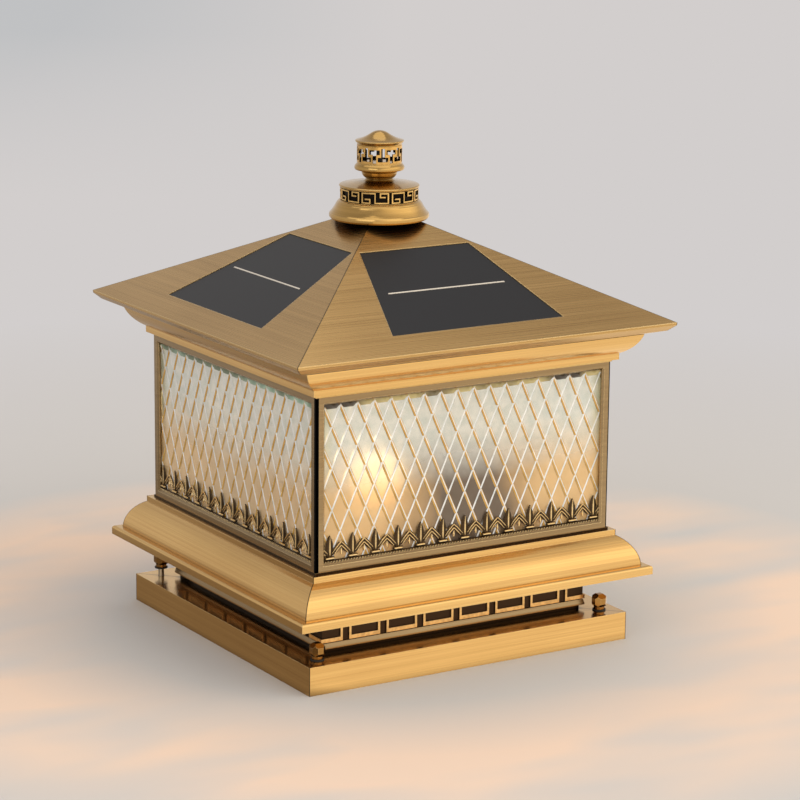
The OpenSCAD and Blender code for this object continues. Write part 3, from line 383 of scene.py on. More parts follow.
# %% Pane sizes
CELL_WIDTH = 0.0152235
CELL_HEIGHT = 0.0335
LATTICE_TOP = 0.2253
RIB_REACH = 0.0015
RIB_RISE = 0.0008
pane_low, pane_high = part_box("glass_pane_front")
PANE_BACK = -pane_high.y
PANE_CREST = -pane_low.y
PANE_FACE = PANE_CREST - RIB_RISE
print("pane, back to crest:", round(PANE_BACK, 4), round(PANE_FACE, 4), round(PANE_CREST, 4))

# %% The golden foot
FOOT_HEIGHT = (0.194, 0.15)
PATCH_HALF = (0.118, 0.072)
PATCH_WANDER = 0.08
TINT_GOLD = (0.95, 0.62, 0.26, 1)
TINT_DARK = (0.2, 0.14, 0.09, 1)
TINT_TAN = (0.9, 0.68, 0.4, 1)
MIRRORED_GOLD = (0.74, 0.4, 0.1, 1)
MIRRORED_DARK = (0.085, 0.046, 0.02, 1)
MIRRORED_TAN = (0.62, 0.4, 0.17, 1)


# The foot is a painted reflection of the brass below the pane: golden, with a dark patch.
def golden_foot(tree, place, foot_reflection):
    """The foot's share, the share of its dark patch, its tint and the colour that it mirrors."""
    spot = find_spot(tree, place)
    blot = grain(tree, place, (13, 13, 17), 1.0, 6.0)
    from_middle = calc(tree, "ADD", spot.along, calc(tree, "MULTIPLY", blot, PATCH_WANDER))
    in_patch = ramp(tree, from_middle, *PATCH_HALF)
    side_loss = calc(tree, "MULTIPLY", spot.on_side, 0.1)
    reach = calc(tree, "MULTIPLY", calc(tree, "SUBTRACT", 1.0, side_loss), foot_reflection)
    foot = calc(tree, "MULTIPLY", ramp(tree, spot.height, *FOOT_HEIGHT), reach)
    middle_tint = blend_colour(tree, spot.on_side, TINT_DARK, TINT_TAN)
    middle_mirrored = blend_colour(tree, spot.on_side, MIRRORED_DARK, MIRRORED_TAN)
    tint = blend_colour(tree, in_patch, TINT_GOLD, middle_tint)
    mirrored = blend_colour(tree, in_patch, MIRRORED_GOLD, middle_mirrored)
    return foot, in_patch, tint, mirrored


# %% The strip over the lattice
STRIP_FOOT = 0.2226
SCALLOP = 0.0034
STRIP_BLUR = 0.0003
STRIP_SHARE = 0.9
PALE_TONES = ((0.5, 0.4, 0.16, 1), (0.36, 0.52, 0.38, 1))
DARK_TONES = ((0.04, 0.024, 0.01, 1), (0.16, 0.2, 0.11, 1))


def top_strip(tree, place):
    """The strip's share, which ends in a scalloped line, and its shader. Side panes have greener tones."""
    spot = find_spot(tree, place)
    peak = calc(tree, "PINGPONG", calc(tree, "ADD", spot.along, CELL_WIDTH / 2), CELL_WIDTH / 2)
    scallop = calc(tree, "MULTIPLY", ramp(tree, peak, SCALLOP, 0.0), SCALLOP)
    over = calc(tree, "SUBTRACT", spot.height, calc(tree, "ADD", STRIP_FOOT, scallop))
    in_strip = calc(tree, "MULTIPLY", ramp(tree, over, 0.0, STRIP_BLUR), STRIP_SHARE)
    cloud = grain(tree, place, (24, 24, 5), 1.0, 2.0)
    pale = blend_colour(tree, spot.on_side, *PALE_TONES)
    dark = blend_colour(tree, spot.on_side, *DARK_TONES)
    tone = blend_colour(tree, ramp(tree, cloud, 0.42, 0.6), dark, pale)
    return in_strip, add(tree, "ShaderNodeBsdfPrincipled", {"Base Color": tone, "Roughness": 0.2})


# %% Glass
# Painted reflection of the brass frames: a yellow-green tint of the glass near its upright edges.
EDGE_FROM = 0.119
EDGE_WIDTH = 0.009
FRAME_REFLECTION_TINT = (0.82, 0.78, 0.4, 1)
SHADOW_TINT = (0.93, 0.93, 0.9, 1)


def pane_glass(name, tint, body, share, foot_reflection=0.0):
    """Refracting glass with a rough inner face, a share of opaque colour, and a painted reflection at its
    foot.
    """
    material, tree, place = start_material(name)
    spot = find_spot(tree, place)
    foot, in_patch, foot_tint, mirrored = golden_foot(tree, place, foot_reflection)
    outer_face = ramp(tree, spot.out, PANE_BACK + 0.0006, PANE_BACK + 0.0012)
    roughness = calc(tree, "SUBTRACT", 0.22, calc(tree, "MULTIPLY", outer_face, 0.18))
    waves = grain(tree, place, (60, 60, 60), 1.0)
    bump = add(tree, "ShaderNodeBump", {"Height": waves, "Strength": 0.15, "Distance": 0.0006})
    frame_reflection = calc(tree, "MULTIPLY", ramp(tree, spot.along, EDGE_FROM, EDGE_FROM + EDGE_WIDTH), 0.75)
    glass = add(tree, "ShaderNodeBsdfPrincipled", {
        "Base Color": blend_colour(tree, foot, blend_colour(tree, frame_reflection, tint, FRAME_REFLECTION_TINT), foot_tint),
        "Roughness": roughness, "IOR": 1.46, "Transmission Weight": 1.0, "Normal": bump.outputs[0],
    })
    # The opaque share's colour, which on the ribs is a painted reflection.
    speck = grain(tree, place, (120, 120, 120), 2.0, 5.0)
    paler = [min(1.0, 1.2 * c + 0.05) for c in body[:3]] + [1]
    plain = blend_colour(tree, ramp(tree, speck, 0.35, 0.65), body, paler)
    lit = add(tree, "ShaderNodeBsdfPrincipled", {
        "Base Color": blend_colour(tree, foot, plain, mirrored), "Roughness": 0.18,
        "Specular IOR Level": 0.3, "Coat Weight": 0.25, "Coat Roughness": 0.05, "Normal": bump.outputs[0],
    })
    foot_share = calc(tree, "MULTIPLY", foot, calc(tree, "ADD", calc(tree, "MULTIPLY", in_patch, 0.38), 0.5))
    shown = mix_shaders(tree, calc(tree, "MAXIMUM", share, foot_share), glass, lit)
    in_strip, strip = top_strip(tree, place)
    shown = mix_shaders(tree, in_strip, shown, strip)
    path = add(tree, "ShaderNodeLightPath")
    soft_light = calc(tree, "MAXIMUM", path.outputs["Is Shadow Ray"], path.outputs["Is Diffuse Ray"])
    through = add(tree, "ShaderNodeBsdfTransparent", {"Color": SHADOW_TINT})
    end_material(tree, mix_shaders(tree, soft_light, shown, through))
    return material


cell_glass = pane_glass("pressed_glass", (0.87, 0.9, 0.84, 1), (0.7, 0.7, 0.64, 1), 0.03, foot_reflection=0.95)
# The ribs' colours are painted reflections, gold of the lantern and white of the sky, and a painted shade
# line.
gold_reflection_rib = pane_glass("rib_gold_reflection", (0.85, 0.6, 0.2, 1), (0.5, 0.27, 0.03, 1), 0.85)
white_reflection_rib = pane_glass("rib_white_reflection", (0.96, 0.98, 0.98, 1), (0.8, 0.85, 0.86, 1), 0.6)
shaded_rib = pane_glass("rib_shade", (0.3, 0.22, 0.12, 1), (0.05, 0.03, 0.012, 1), 0.85)
print("kinds of glass:", cell_glass.name, gold_reflection_rib.name, white_reflection_rib.name, shaded_rib.name)

# %% [markdown]
# ## Tools for repeated shapes
# The lattice of a pane, its palmettes and the rope under them repeat one small shape many times. Python loops
# could copy it, but a Geometry Nodes tree says the rule itself: points on a grid or a line, the shape on each
# point, and a material for each kind of face. The result is turned into a plain mesh, which the export needs.

# %% Geometry helpers
def start_geometry(name, sizes):
    """An empty geometry tree with one named input for each size, and its two end nodes."""
    tree = bpy.data.node_groups.new(name, "GeometryNodeTree")
    tree.interface.new_socket("Geometry", in_out="INPUT", socket_type="NodeSocketGeometry")
    tree.interface.new_socket("Geometry", in_out="OUTPUT", socket_type="NodeSocketGeometry")
    for label, kind in sizes.items():
        tree.interface.new_socket(label, in_out="INPUT", socket_type=kind)
    return tree, add(tree, "NodeGroupInput"), add(tree, "NodeGroupOutput")


def row_length(tree, count, step):
    """The length of a row of evenly spaced points."""
    return calc(tree, "MULTIPLY", calc(tree, "SUBTRACT", count, 1.0), step)


def live(sockets, name):
    """The socket of this name that the node uses now."""
    return next(socket for socket in sockets if socket.name == name and socket.enabled)


def dress(tree, geometry, *materials):
    """Gives each kind of face its material. The kind is a number that the faces carry."""
    kind = add(tree, "GeometryNodeInputNamedAttribute", {"Name": "kind"}, data_type="INT")
    for number, material in enumerate(materials):
        same = add(tree, "FunctionNodeCompare", data_type="INT", operation="EQUAL")
        tree.links.new(live(kind.outputs, "Attribute"), live(same.inputs, "A"))
        live(same.inputs, "B").default_value = number
        geometry = add(tree, "GeometryNodeSetMaterial", {
            "Geometry": geometry, "Selection": same.outputs[0], "Material": material,
        }).outputs[0]
    return geometry


def grow(name, seed_mesh, tree, **sizes):
    """Runs a tree on a mesh and keeps what it made as a plain piece. Each size names its input."""
    seed = bpy.data.objects.new(name + "_seed", seed_mesh)
    bpy.context.scene.collection.objects.link(seed)
    modifier = seed.modifiers.new("grow", "NODES")
    modifier.node_group = tree
    for item in tree.interface.items_tree:
        if item.in_out == "INPUT" and item.name in sizes:
            modifier[item.identifier] = sizes[item.name]
    bpy.context.view_layer.update()
    made = bpy.data.meshes.new_from_object(seed.evaluated_get(bpy.context.evaluated_depsgraph_get()))
    bpy.data.objects.remove(seed)
    piece = bpy.data.objects.new(name, made)
    bpy.context.scene.collection.objects.link(piece)
    return piece


def mesh_from(name, points, faces, kinds):
    """A mesh whose faces each carry a kind."""
    mesh = bpy.data.meshes.new(name)
    mesh.from_pydata(points, [], faces)
    mesh.attributes.new("kind", "INT", "FACE").data.foreach_set("value", kinds)
    return mesh


print("tools for repeated shapes are ready")

# %% [markdown]
# ## One diamond of the lattice
# Each rib is shared by two diamonds, so the repeated tile is one diamond whose rim rises to the crest of the
# ribs around it. Nested diamonds carry the height of a smooth wave, and the last two are level, so that the
# flat middle keeps its straight normal when the shading is smooth. Each face also carries its kind of glass,
# which on the ribs is a painted reflection: a falling rib is painted gold on its lower side and white on its
# upper one, and a rising rib is thinner and painted white. Both have thin lines of painted shade.

# %% Diamond tile
# Kinds of face: clear glass, a painted gold reflection, a painted white reflection and painted shade.
CLEAR, GOLD_REFLECTION, WHITE_REFLECTION, SHADE = range(4)
RIB_STEPS = 6
THIN_RIB_STEPS = 3

half_cell = (CELL_WIDTH / 2, CELL_HEIGHT / 2)
inner_radius = half_cell[0] * half_cell[1] / math.hypot(*half_cell)
points, faces, kinds = [], [], []
for ring in range(RIB_STEPS + 2):
    inset = RIB_REACH * ring / RIB_STEPS
    size = 1 - inset / inner_radius
    rise = RIB_RISE * math.cos(math.pi / 2 * min(1, ring / RIB_STEPS)) ** 2
    across, up = half_cell[0] * size, half_cell[1] * size
    surface = -PANE_FACE - rise
    points += [(across, surface, 0), (0, surface, up), (-across, surface, 0), (0, surface, -up)]
UPPER_RIGHT, UPPER_LEFT, LOWER_LEFT = range(3)
for ring in range(RIB_STEPS + 1):
    for side in range(4):
        first, second = 4 * ring + side, 4 * ring + (side + 1) % 4
        faces.append((first, second, second + 4, first + 4))
        if ring == RIB_STEPS:
            kinds.append(CLEAR)
        elif side == UPPER_RIGHT:
            kinds.append(GOLD_REFLECTION if ring < RIB_STEPS - 1 else SHADE)
        elif side == LOWER_LEFT:
            kinds.append(WHITE_REFLECTION if ring < RIB_STEPS - 2 else GOLD_REFLECTION)
        elif side == UPPER_LEFT:
            kinds.append((WHITE_REFLECTION, WHITE_REFLECTION, SHADE, CLEAR, CLEAR, CLEAR)[ring])
        else:
            kinds.append(WHITE_REFLECTION if ring < THIN_RIB_STEPS else CLEAR)
faces.append(tuple(4 * (RIB_STEPS + 1) + side for side in range(4)))
kinds.append(CLEAR)
tile = mesh_from("diamond", points, faces, kinds)
print("faces in a diamond:", len(faces))

# %% [markdown]
# ## The rule of the lattice
# A lattice is two grids of diamonds, the second half a cell to the right and half a cell up. An Array
# modifier could repeat the diamond, but needs one array for each grid and direction. The tree instances it on
# both grids at once and merges the rims, so that the ribs are whole.

# %% Lattice tree
tree, inlet, outlet = start_geometry("pane_lattice", {
    "Columns": "NodeSocketInt", "Rows": "NodeSocketInt", "Cell width": "NodeSocketFloat",
    "Cell height": "NodeSocketFloat", "Top": "NodeSocketFloat",
})
columns, rows = inlet.outputs["Columns"], inlet.outputs["Rows"]
span_x = row_length(tree, columns, inlet.outputs["Cell width"])
span_z = row_length(tree, rows, inlet.outputs["Cell height"])
grid = add(tree, "GeometryNodeMeshGrid", {
    "Size X": span_x, "Size Y": span_z, "Vertices X": columns, "Vertices Y": rows,
}).outputs["Mesh"]
middle = calc(tree, "SUBTRACT", inlet.outputs["Top"], calc(tree, "MULTIPLY", span_z, 0.5))
places = []
for shift in (0.0, 0.5):
    x = calc(tree, "MULTIPLY", inlet.outputs["Cell width"], shift)
    z = calc(tree, "ADD", middle, calc(tree, "MULTIPLY", inlet.outputs["Cell height"], shift))
    move = add(tree, "ShaderNodeCombineXYZ", {"X": x, "Z": z})
    places.append(add(tree, "GeometryNodeTransform", {
        "Geometry": grid, "Translation": move.outputs[0], "Rotation": (math.pi / 2, 0, 0),
    }))
both = add(tree, "GeometryNodeJoinGeometry")
for place_node in places:
    tree.links.new(place_node.outputs[0], both.inputs[0])
tiles = add(tree, "GeometryNodeInstanceOnPoints", {
    "Points": both.outputs[0], "Instance": inlet.outputs["Geometry"],
})
real = add(tree, "GeometryNodeRealizeInstances", {"Geometry": tiles.outputs[0]})
joined = add(tree, "GeometryNodeMergeByDistance", {"Geometry": real.outputs[0], "Distance": 0.00002})
dressed = dress(tree, joined.outputs[0], cell_glass, gold_reflection_rib, white_reflection_rib, shaded_rib)
tree.links.new(dressed, outlet.inputs[0])
lattice_tree = tree
print("nodes in the lattice tree:", len(tree.nodes))

# %% [markdown]
# ## From lattice to pane
# A real pane is cut from the pressed sheet. Here too: the lattice is larger than the pane, four planes cut it
# to the size of the CAD pane, and its rim is drawn back and closed, so that light meets a solid body with a
# front and a back. The right and left panes are mirrored before they are turned, because the photo shows
# the gold sides of the left pane's ribs the other way round.

# %% Panes
def cut_off(mesh_data, place, outward):
    """Cuts away what lies beyond a plane."""
    everything = mesh_data.verts[:] + mesh_data.edges[:] + mesh_data.faces[:]
    bmesh.ops.bisect_plane(mesh_data, geom=everything, plane_co=place, plane_no=outward, clear_outer=True)


SIDES = ("front", "right", "back", "left")
LATTICE_SIZES = {
    "Columns": 19, "Rows": 5, "Cell width": CELL_WIDTH, "Cell height": CELL_HEIGHT, "Top": LATTICE_TOP,
}
for turn, side in enumerate(SIDES):
    pane = grow("pane_" + side, tile, lattice_tree, **LATTICE_SIZES)
    shell = bmesh.new()
    shell.from_mesh(pane.data)
    cut_off(shell, (pane_high.x, 0, 0), (1, 0, 0))
    cut_off(shell, (pane_low.x, 0, 0), (-1, 0, 0))
    cut_off(shell, (0, 0, pane_high.z), (0, 0, 1))
    cut_off(shell, (0, 0, pane_low.z), (0, 0, -1))
    rim = [edge for edge in shell.edges if edge.is_boundary]
    drawn = bmesh.ops.extrude_edge_only(shell, edges=rim)["geom"]
    for vertex in (item for item in drawn if isinstance(item, bmesh.types.BMVert)):
        vertex.co.y = -PANE_BACK
    back_edges = [edge for edge in shell.edges if edge.is_boundary]
    bmesh.ops.holes_fill(shell, edges=back_edges, sides=0)
    for face in shell.faces:
        face.smooth = abs(face.normal.y) > 0.3 and face.calc_center_median().y < -PANE_FACE + 0.0001
    if turn % 2:
        bmesh.ops.scale(shell, vec=(-1, 1, 1), verts=shell.verts)
    quarter_turns = Matrix.Rotation(math.pi / 2 * turn, 3, "Z")
    bmesh.ops.rotate(shell, cent=(0, 0, 0), matrix=quarter_turns, verts=shell.verts)
    bmesh.ops.recalc_face_normals(shell, faces=shell.faces)
    open_edges = sum(edge.is_boundary for edge in shell.edges)
    shell.to_mesh(pane.data)
    shell.free()
    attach(pane, "lantern")
    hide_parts("glass_pane_" + side)
    print(pane.name, "faces:", len(pane.data.polygons), "open edges:", open_edges)

# %% [markdown]
# ## Palmettes
# A cast strip stands at the foot of each pane: leaves with a bright vein, striped side leaves that meet in
# points between them, an oval bar under each leaf, and a rope border. A bump could suggest this relief, but
# it shows its gaps against the lit glass, so it is modelled. Every bar is one tube of four sides that
# follows a path, wide or narrow as its place asks.

# %% Bars for the relief
PITCH = 0.0207
FRONT_FACE = 0.1352
SIGHT_FOOT = 0.1007
DARK_BAR, BRIGHT = range(2)
SLOPE = 0.45
points, faces, kinds = [], [], []


def relief(path, halves, stand, rise, kind):
    """A bar along a path of (across, up) points in millimetres, with a half width at each point."""
    first = len(points)
    for index, (x, z) in enumerate(path):
        before, after = path[max(0, index - 1)], path[min(len(path) - 1, index + 1)]
        length = math.hypot(after[0] - before[0], after[1] - before[1])
        aside = ((after[1] - before[1]) / length, (before[0] - after[0]) / length)
        half = halves[index]
        for share, height in ((-1, 0), (-SLOPE, rise), (SLOPE, rise), (1, 0)):
            points.append((
                (x + aside[0] * half * share) / 1000,
                -FRONT_FACE - (stand + height) / 1000,
                SIGHT_FOOT + (z + aside[1] * half * share) / 1000,
            ))
    for index in range(len(path) - 1):
        row = first + 4 * index
        for corner in range(4):
            following = (corner + 1) % 4
            faces.append((row + corner, row + following, row + following + 4, row + corner + 4))
            kinds.append(kind)
    last = first + 4 * (len(path) - 1)
    faces.append(tuple(first + corner for corner in (0, 1, 2, 3)))
    faces.append(tuple(last + corner for corner in (3, 2, 1, 0)))
    kinds.extend([kind, kind])


half_pitch = PITCH * 500
print("half a palmette's width:", half_pitch, "mm")

# %% One palmette
STROKES = 8

leaf = [(0, 4.6), (0, 7), (0, 10), (0, 13.5), (0, 17), (0, 20), (0, 22)]
relief(leaf, [0.9, 2.2, 3.3, 3.6, 2.8, 1.5, 0.1], 0, 1.0, DARK_BAR)
relief([(0, 6), (0, 9), (0, 14), (0, 21)], [0.3, 0.7, 0.7, 0.15], 0.9, 0.5, BRIGHT)
relief([(-3.7, 3.7), (-3.2, 3.7), (3.2, 3.7), (3.7, 3.7)], [0.4, 0.9, 0.9, 0.4], 0.8, 0.9, BRIGHT)
relief([(-4.4, 3.6), (4.4, 3.6)], [1.3, 1.3], 0, 0.8, DARK_BAR)
for lean in (-1, 1):
    side_leaf = [(lean * 0.8, 5.2), (lean * 5.5, 9.6), (lean * half_pitch, 14.2)]
    relief(side_leaf, [1.0, 2.5, 2.6], 0, 0.5, DARK_BAR)
    for foot, tip in (((2.2, 7.6), 15.9), ((3.9, 6.2), 12.9)):
        bend = ((foot[0] + half_pitch) / 2, (foot[1] + tip) / 2 + 0.35)
        stripe = [(lean * foot[0], foot[1]), (lean * bend[0], bend[1]), (lean * half_pitch, tip)]
        relief(stripe, [0.25, 0.48, 0.48], 0.4, 0.7, BRIGHT)
relief([(half_pitch, 5.8), (half_pitch, 8), (half_pitch, 11)], [0.5, 1.0, 0.2], 0.3, 0.8, BRIGHT)
relief([(-half_pitch, 0.3), (half_pitch, 0.3)], [1.9, 1.9], 0, 1.2, DARK_BAR)
for stroke in range(STROKES):
    start = half_pitch * (2 * stroke / STROKES - 1)
    width = 2 * half_pitch / STROKES
    relief([(start, -1.1), (start + 0.5 * width, 1.5)], [0.2, 0.2], 1.1, 0.3, BRIGHT)
    relief([(start + 0.5 * width, 1.5), (start + width, -1.1)], [0.13, 0.13], 1.1, 0.25, BRIGHT)
palmette = mesh_from("palmette", points, faces, kinds)
print("faces in a palmette:", len(faces))

# %% [markdown]
# ## Two finishes for the relief
# The cast strip is coloured nearly black, and its veins and stripes bright. Painting them on one material
# would need a map of the relief. The bars carry their kind instead, and each kind gets its metal.

# %% Palmette finishes
aged_brass = brushed_brass("aged_brass", (0.035, 0.021, 0.01, 1), (0.09, 0.055, 0.027, 1), 0.34,
                           edge=(0.3, 0.2, 0.09, 1), edge_width=0.0002)
relief_brass = brushed_brass("relief_brass", (0.82, 0.56, 0.25, 1), (1.0, 0.8, 0.46, 1), 0.25,
                             edge_width=0.0002, corner_shade=0.2)
print("relief:", aged_brass.name, relief_brass.name)

# %% [markdown]
# ## Rows of palmettes
# Each side has a row of thirteen palmettes, and the four rows differ only by a quarter turn. The tree says
# so twice: the palmette is instanced on a line, and that row is instanced on four points in one place, each
# turned by its index.

# %% Palmette tree
tree, inlet, outlet = start_geometry("palmette_rows", {"Count": "NodeSocketInt", "Pitch": "NodeSocketFloat"})
reach = row_length(tree, inlet.outputs["Count"], inlet.outputs["Pitch"])
begin = add(tree, "ShaderNodeCombineXYZ", {"X": calc(tree, "MULTIPLY", reach, -0.5)})
step = add(tree, "ShaderNodeCombineXYZ", {"X": inlet.outputs["Pitch"]})
line = add(tree, "GeometryNodeMeshLine", {
    "Count": inlet.outputs["Count"], "Start Location": begin.outputs[0], "Offset": step.outputs[0],
})
row = add(tree, "GeometryNodeInstanceOnPoints", {
    "Points": line.outputs[0], "Instance": inlet.outputs["Geometry"],
})
centres = add(tree, "GeometryNodeMeshLine", {"Count": 4, "Offset": (0, 0, 0)})
quarter = calc(tree, "MULTIPLY", add(tree, "GeometryNodeInputIndex").outputs[0], math.pi / 2)
facing = add(tree, "ShaderNodeCombineXYZ", {"Z": quarter})
rows = add(tree, "GeometryNodeInstanceOnPoints", {
    "Points": centres.outputs[0], "Instance": row.outputs[0], "Rotation": facing.outputs[0],
})
real = add(tree, "GeometryNodeRealizeInstances", {"Geometry": rows.outputs[0]})
tree.links.new(dress(tree, real.outputs[0], aged_brass, relief_brass), outlet.inputs[0])

band = grow("palmette_band", palmette, tree, Count=13, Pitch=PITCH)
shell = bmesh.new()
shell.from_mesh(band.data)
bmesh.ops.recalc_face_normals(shell, faces=shell.faces)
shell.to_mesh(band.data)
shell.free()
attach(band, "lantern")
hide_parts("palmette_strips")
print("palmette band faces:", len(band.data.polygons))

# %% [markdown]
# ## Solar panels
# Each panel is a dark laminate under a glossy film, with one silver busbar across it. The busbar and the
# fine fingers are printed on and have no thickness to model, so they are drawn by the material: a band where
# the distance from the middle plane is the busbar's, and hairlines across the slope.

# %% Solar laminate
BUSBAR_OUT = 0.1051
BUSBAR_HALF = 0.054
BUSBAR_WIDTH = (0.00075, 0.00045)
BUSBAR_BLUR = 0.0004
BUSBAR_SILVER = (0.66, 0.6, 0.52, 1)
FINGER_GAP = 0.001
FINGER_WIDTH = (0.00012, 0.00002)
FINGER_GREY = (0.015, 0.015, 0.018, 1)
CELL_BLACK = (0.004, 0.004, 0.006, 1)

material, tree, place = start_material("solar_laminate")
spot = find_spot(tree, place)
off_bar = calc(tree, "ABSOLUTE", calc(tree, "SUBTRACT", spot.out, BUSBAR_OUT))
near_bar = ramp(tree, off_bar, *BUSBAR_WIDTH)
in_bar = calc(tree, "MULTIPLY", near_bar, ramp(tree, spot.along, BUSBAR_HALF + BUSBAR_BLUR, BUSBAR_HALF))
fingers = calc(tree, "PINGPONG", spot.out, FINGER_GAP)
hairline = calc(tree, "MULTIPLY", ramp(tree, fingers, *FINGER_WIDTH), 0.2)
base = blend_colour(tree, hairline, CELL_BLACK, FINGER_GREY)
colour = blend_colour(tree, in_bar, base, BUSBAR_SILVER)
shader = add(tree, "ShaderNodeBsdfPrincipled", {
    "Base Color": colour, "Metallic": 0.0, "Roughness": 0.4, "Specular IOR Level": 0.35, "Coat Weight": 0.08,
    "Coat Roughness": 0.1,
})
end_material(tree, shader)
finish_with(material, *(f"solar_panel_{side}" for side in SIDES))
print("busbar length:", 2 * BUSBAR_HALF)

# %% [markdown]
# ## Plain finishes
# Rubber, porcelain, zinc and plastic are seen only when the lamp is open, but each still gets its own small
# variation of colour and its own gloss. A separate network for each would repeat itself, so one function
# makes them all from a colour, a roughness and a fine mottle. The ball nuts are brass again, and darker.

# %% Small materials
def plain_finish(name, colour, rough, metallic=0.0, speckle=0.12, scale=220):
    """A finish with a fine mottle and a faint bump."""
    material, tree, place = start_material(name)
    mottle = grain(tree, place, (scale, scale, scale), 3.0)
    darker = [c * (1 - speckle) for c in colour[:3]] + [1]
    tone = blend_colour(tree, ramp(tree, mottle, 0.35, 0.65), darker, colour)
    bump = add(tree, "ShaderNodeBump", {"Height": mottle, "Strength": 0.08, "Distance": 0.0002})
    shader = add(tree, "ShaderNodeBsdfPrincipled", {
        "Base Color": tone, "Metallic": metallic, "Normal": bump.outputs[0],
        "Roughness": calc(tree, "ADD", rough, calc(tree, "MULTIPLY", mottle, 0.1)),
    })
    end_material(tree, shader)
    return material


NUMBERS = (1, 2, 3, 4)

finish_with(plain_finish("zinc_steel", (0.5, 0.5, 0.48, 1), 0.25, 1.0),
            "mounting_bracket", "case_screws", "cross_bar", "tie_rod", "rod_nuts")
finish_with(plain_finish("black_rubber", (0.02, 0.02, 0.02, 1), 0.65),
            "glazing_seals", "weather_seal", "finial_gasket", *(f"nut_washer_{n}" for n in NUMBERS))
finish_with(plain_finish("lead_sheath", (0.25, 0.2, 0.15, 1), 0.5), "lamp_lead")
finish_with(plain_finish("satin_black", (0.006, 0.005, 0.005, 1), 0.5), "corner_posts", "finial_stem")
finish_with(plain_finish("ceiling_white", (0.75, 0.73, 0.7, 1), 0.45), "ceiling_plate")
finish_with(plain_finish("rivet_aluminium", (0.62, 0.62, 0.62, 1), 0.3, 1.0), "ceiling_rivets")
finish_with(plain_finish("porcelain", (0.82, 0.79, 0.72, 1), 0.12, 0.0, 0.05), "lamp_holder")
finish_with(plain_finish("white_plastic", (0.78, 0.78, 0.75, 1), 0.3, 0.0, 0.05),
            "lamp_plug", "roof_socket", "bulb_base")
finish_with(plain_finish("black_plastic", (0.03, 0.03, 0.032, 1), 0.45),
            "panel_trays", "battery_box", "battery_lid", "switch_body")
finish_with(plain_finish("cell_sleeve", (0.05, 0.12, 0.3, 1), 0.3), "battery_cells")
finish_with(plain_finish("circuit_board", (0.02, 0.16, 0.06, 1), 0.4), "controller_board")
finish_with(plain_finish("red_plastic", (0.5, 0.04, 0.03, 1), 0.35), "switch_button")
finish_with(plain_finish("nickel_cap", (0.66, 0.63, 0.57, 1), 0.2, 1.0), "bulb_cap")
finish_with(plain_finish("light_strips", (0.95, 0.7, 0.25, 1), 0.4), "bulb_filaments")
nut_brass = brushed_brass("nut_brass", (0.26, 0.13, 0.035, 1), (0.46, 0.25, 0.07, 1), 0.2,
                          edge_width=FINE_EDGE)
finish_with(nut_brass, *(f"ball_nut_{n}" for n in NUMBERS))
print("materials so far:", len(bpy.data.materials))

# %% [markdown]
# ## The lit bulb
# The globe is frosted and glows warm, brightest in its middle. A lamp object alone would leave the globe
# dark, and emission alone lights the floor with noise, so the globe glows and a small lamp inside it does
# the lighting. The globe lets that lamp's light out.

# %% Bulb
GLOW_HEIGHT = (0.1, 0.122)
GLOW_FOOT = (1.0, 0.42, 0.12, 1)
GLOW_MIDDLE = (1.0, 0.78, 0.42, 1)
LIGHT_HEIGHT = 0.125

material, tree, place = start_material("lit_globe")
height = ramp(tree, find_spot(tree, place).height, *GLOW_HEIGHT)
glow = blend_colour(tree, height, GLOW_FOOT, GLOW_MIDDLE)
light = add(tree, "ShaderNodeEmission", {"Color": glow, "Strength": 2.0})
through = add(tree, "ShaderNodeBsdfTransparent")
path = add(tree, "ShaderNodeLightPath")
end_material(tree, mix_shaders(tree, path.outputs["Is Shadow Ray"], light, through))
finish_with(material, "bulb_glass")

lamp_data = bpy.data.lights.new("bulb_light", "POINT")
lamp_data.energy = 0.16
lamp_data.color = (1.0, 0.62, 0.3)
lamp_data.shadow_soft_size = 0.02
lamp = bpy.data.objects.new("bulb_light", lamp_data)
bpy.context.scene.collection.objects.link(lamp)
lamp.location = (0, 0, LIGHT_HEIGHT)
print("bulb light at:", LIGHT_HEIGHT, "power:", round(lamp_data.energy, 2), "W")

# %% [markdown]
# ## The room around the lamp
# Metal shows what surrounds it, so the world is bright towards the right of the front and darker behind the
# left side, as in a studio with one large window, with a brighter opening in it for the highlights. A real
# room could be modelled, but the world's colour by direction gives the same reflections at no cost. The
# camera itself sees only the plain backdrop, and so do rays that pass through the glass.

# %% World
BACKDROP = (0.645, 0.617, 0.61, 1)
TO_WINDOW = (0.51, -0.83, 0.15)
LEVEL_LIGHT = (0.78, 0.75, 0.72, 1)
OVERHEAD_LIGHT = (0.44, 0.42, 0.41, 1)
DIM_LIGHT = (0.3, 0.3, 0.32, 1)
WINDOW_LIGHT = (1.12, 1.03, 0.9, 1)
OPENING_LIGHT = (1.6, 1.5, 1.32, 1)

world = bpy.data.worlds.new("studio")
bpy.context.scene.world = world
world.use_nodes = True
tree = world.node_tree
tree.nodes.clear()
direction = add(tree, "ShaderNodeTexCoord").outputs["Generated"]
height = add(tree, "ShaderNodeSeparateXYZ", {0: direction}).outputs[2]
overhead = ramp(tree, height, 0.15, 0.85)
towards = along_axis(tree, direction, TO_WINDOW)
window_side = calc(tree, "MULTIPLY", ramp(tree, towards, 0.1, 0.95), 0.9)
dim_side = calc(tree, "MULTIPLY", ramp(tree, towards, 0.0, -0.9), 0.2)
studio_light = blend_colour(tree, overhead, LEVEL_LIGHT, OVERHEAD_LIGHT)
studio_light = blend_colour(tree, dim_side, studio_light, DIM_LIGHT)
studio_light = blend_colour(tree, window_side, studio_light, WINDOW_LIGHT)
opening = calc(tree, "MULTIPLY", ramp(tree, height, 0.12, 0.3), ramp(tree, height, 0.85, 0.55))
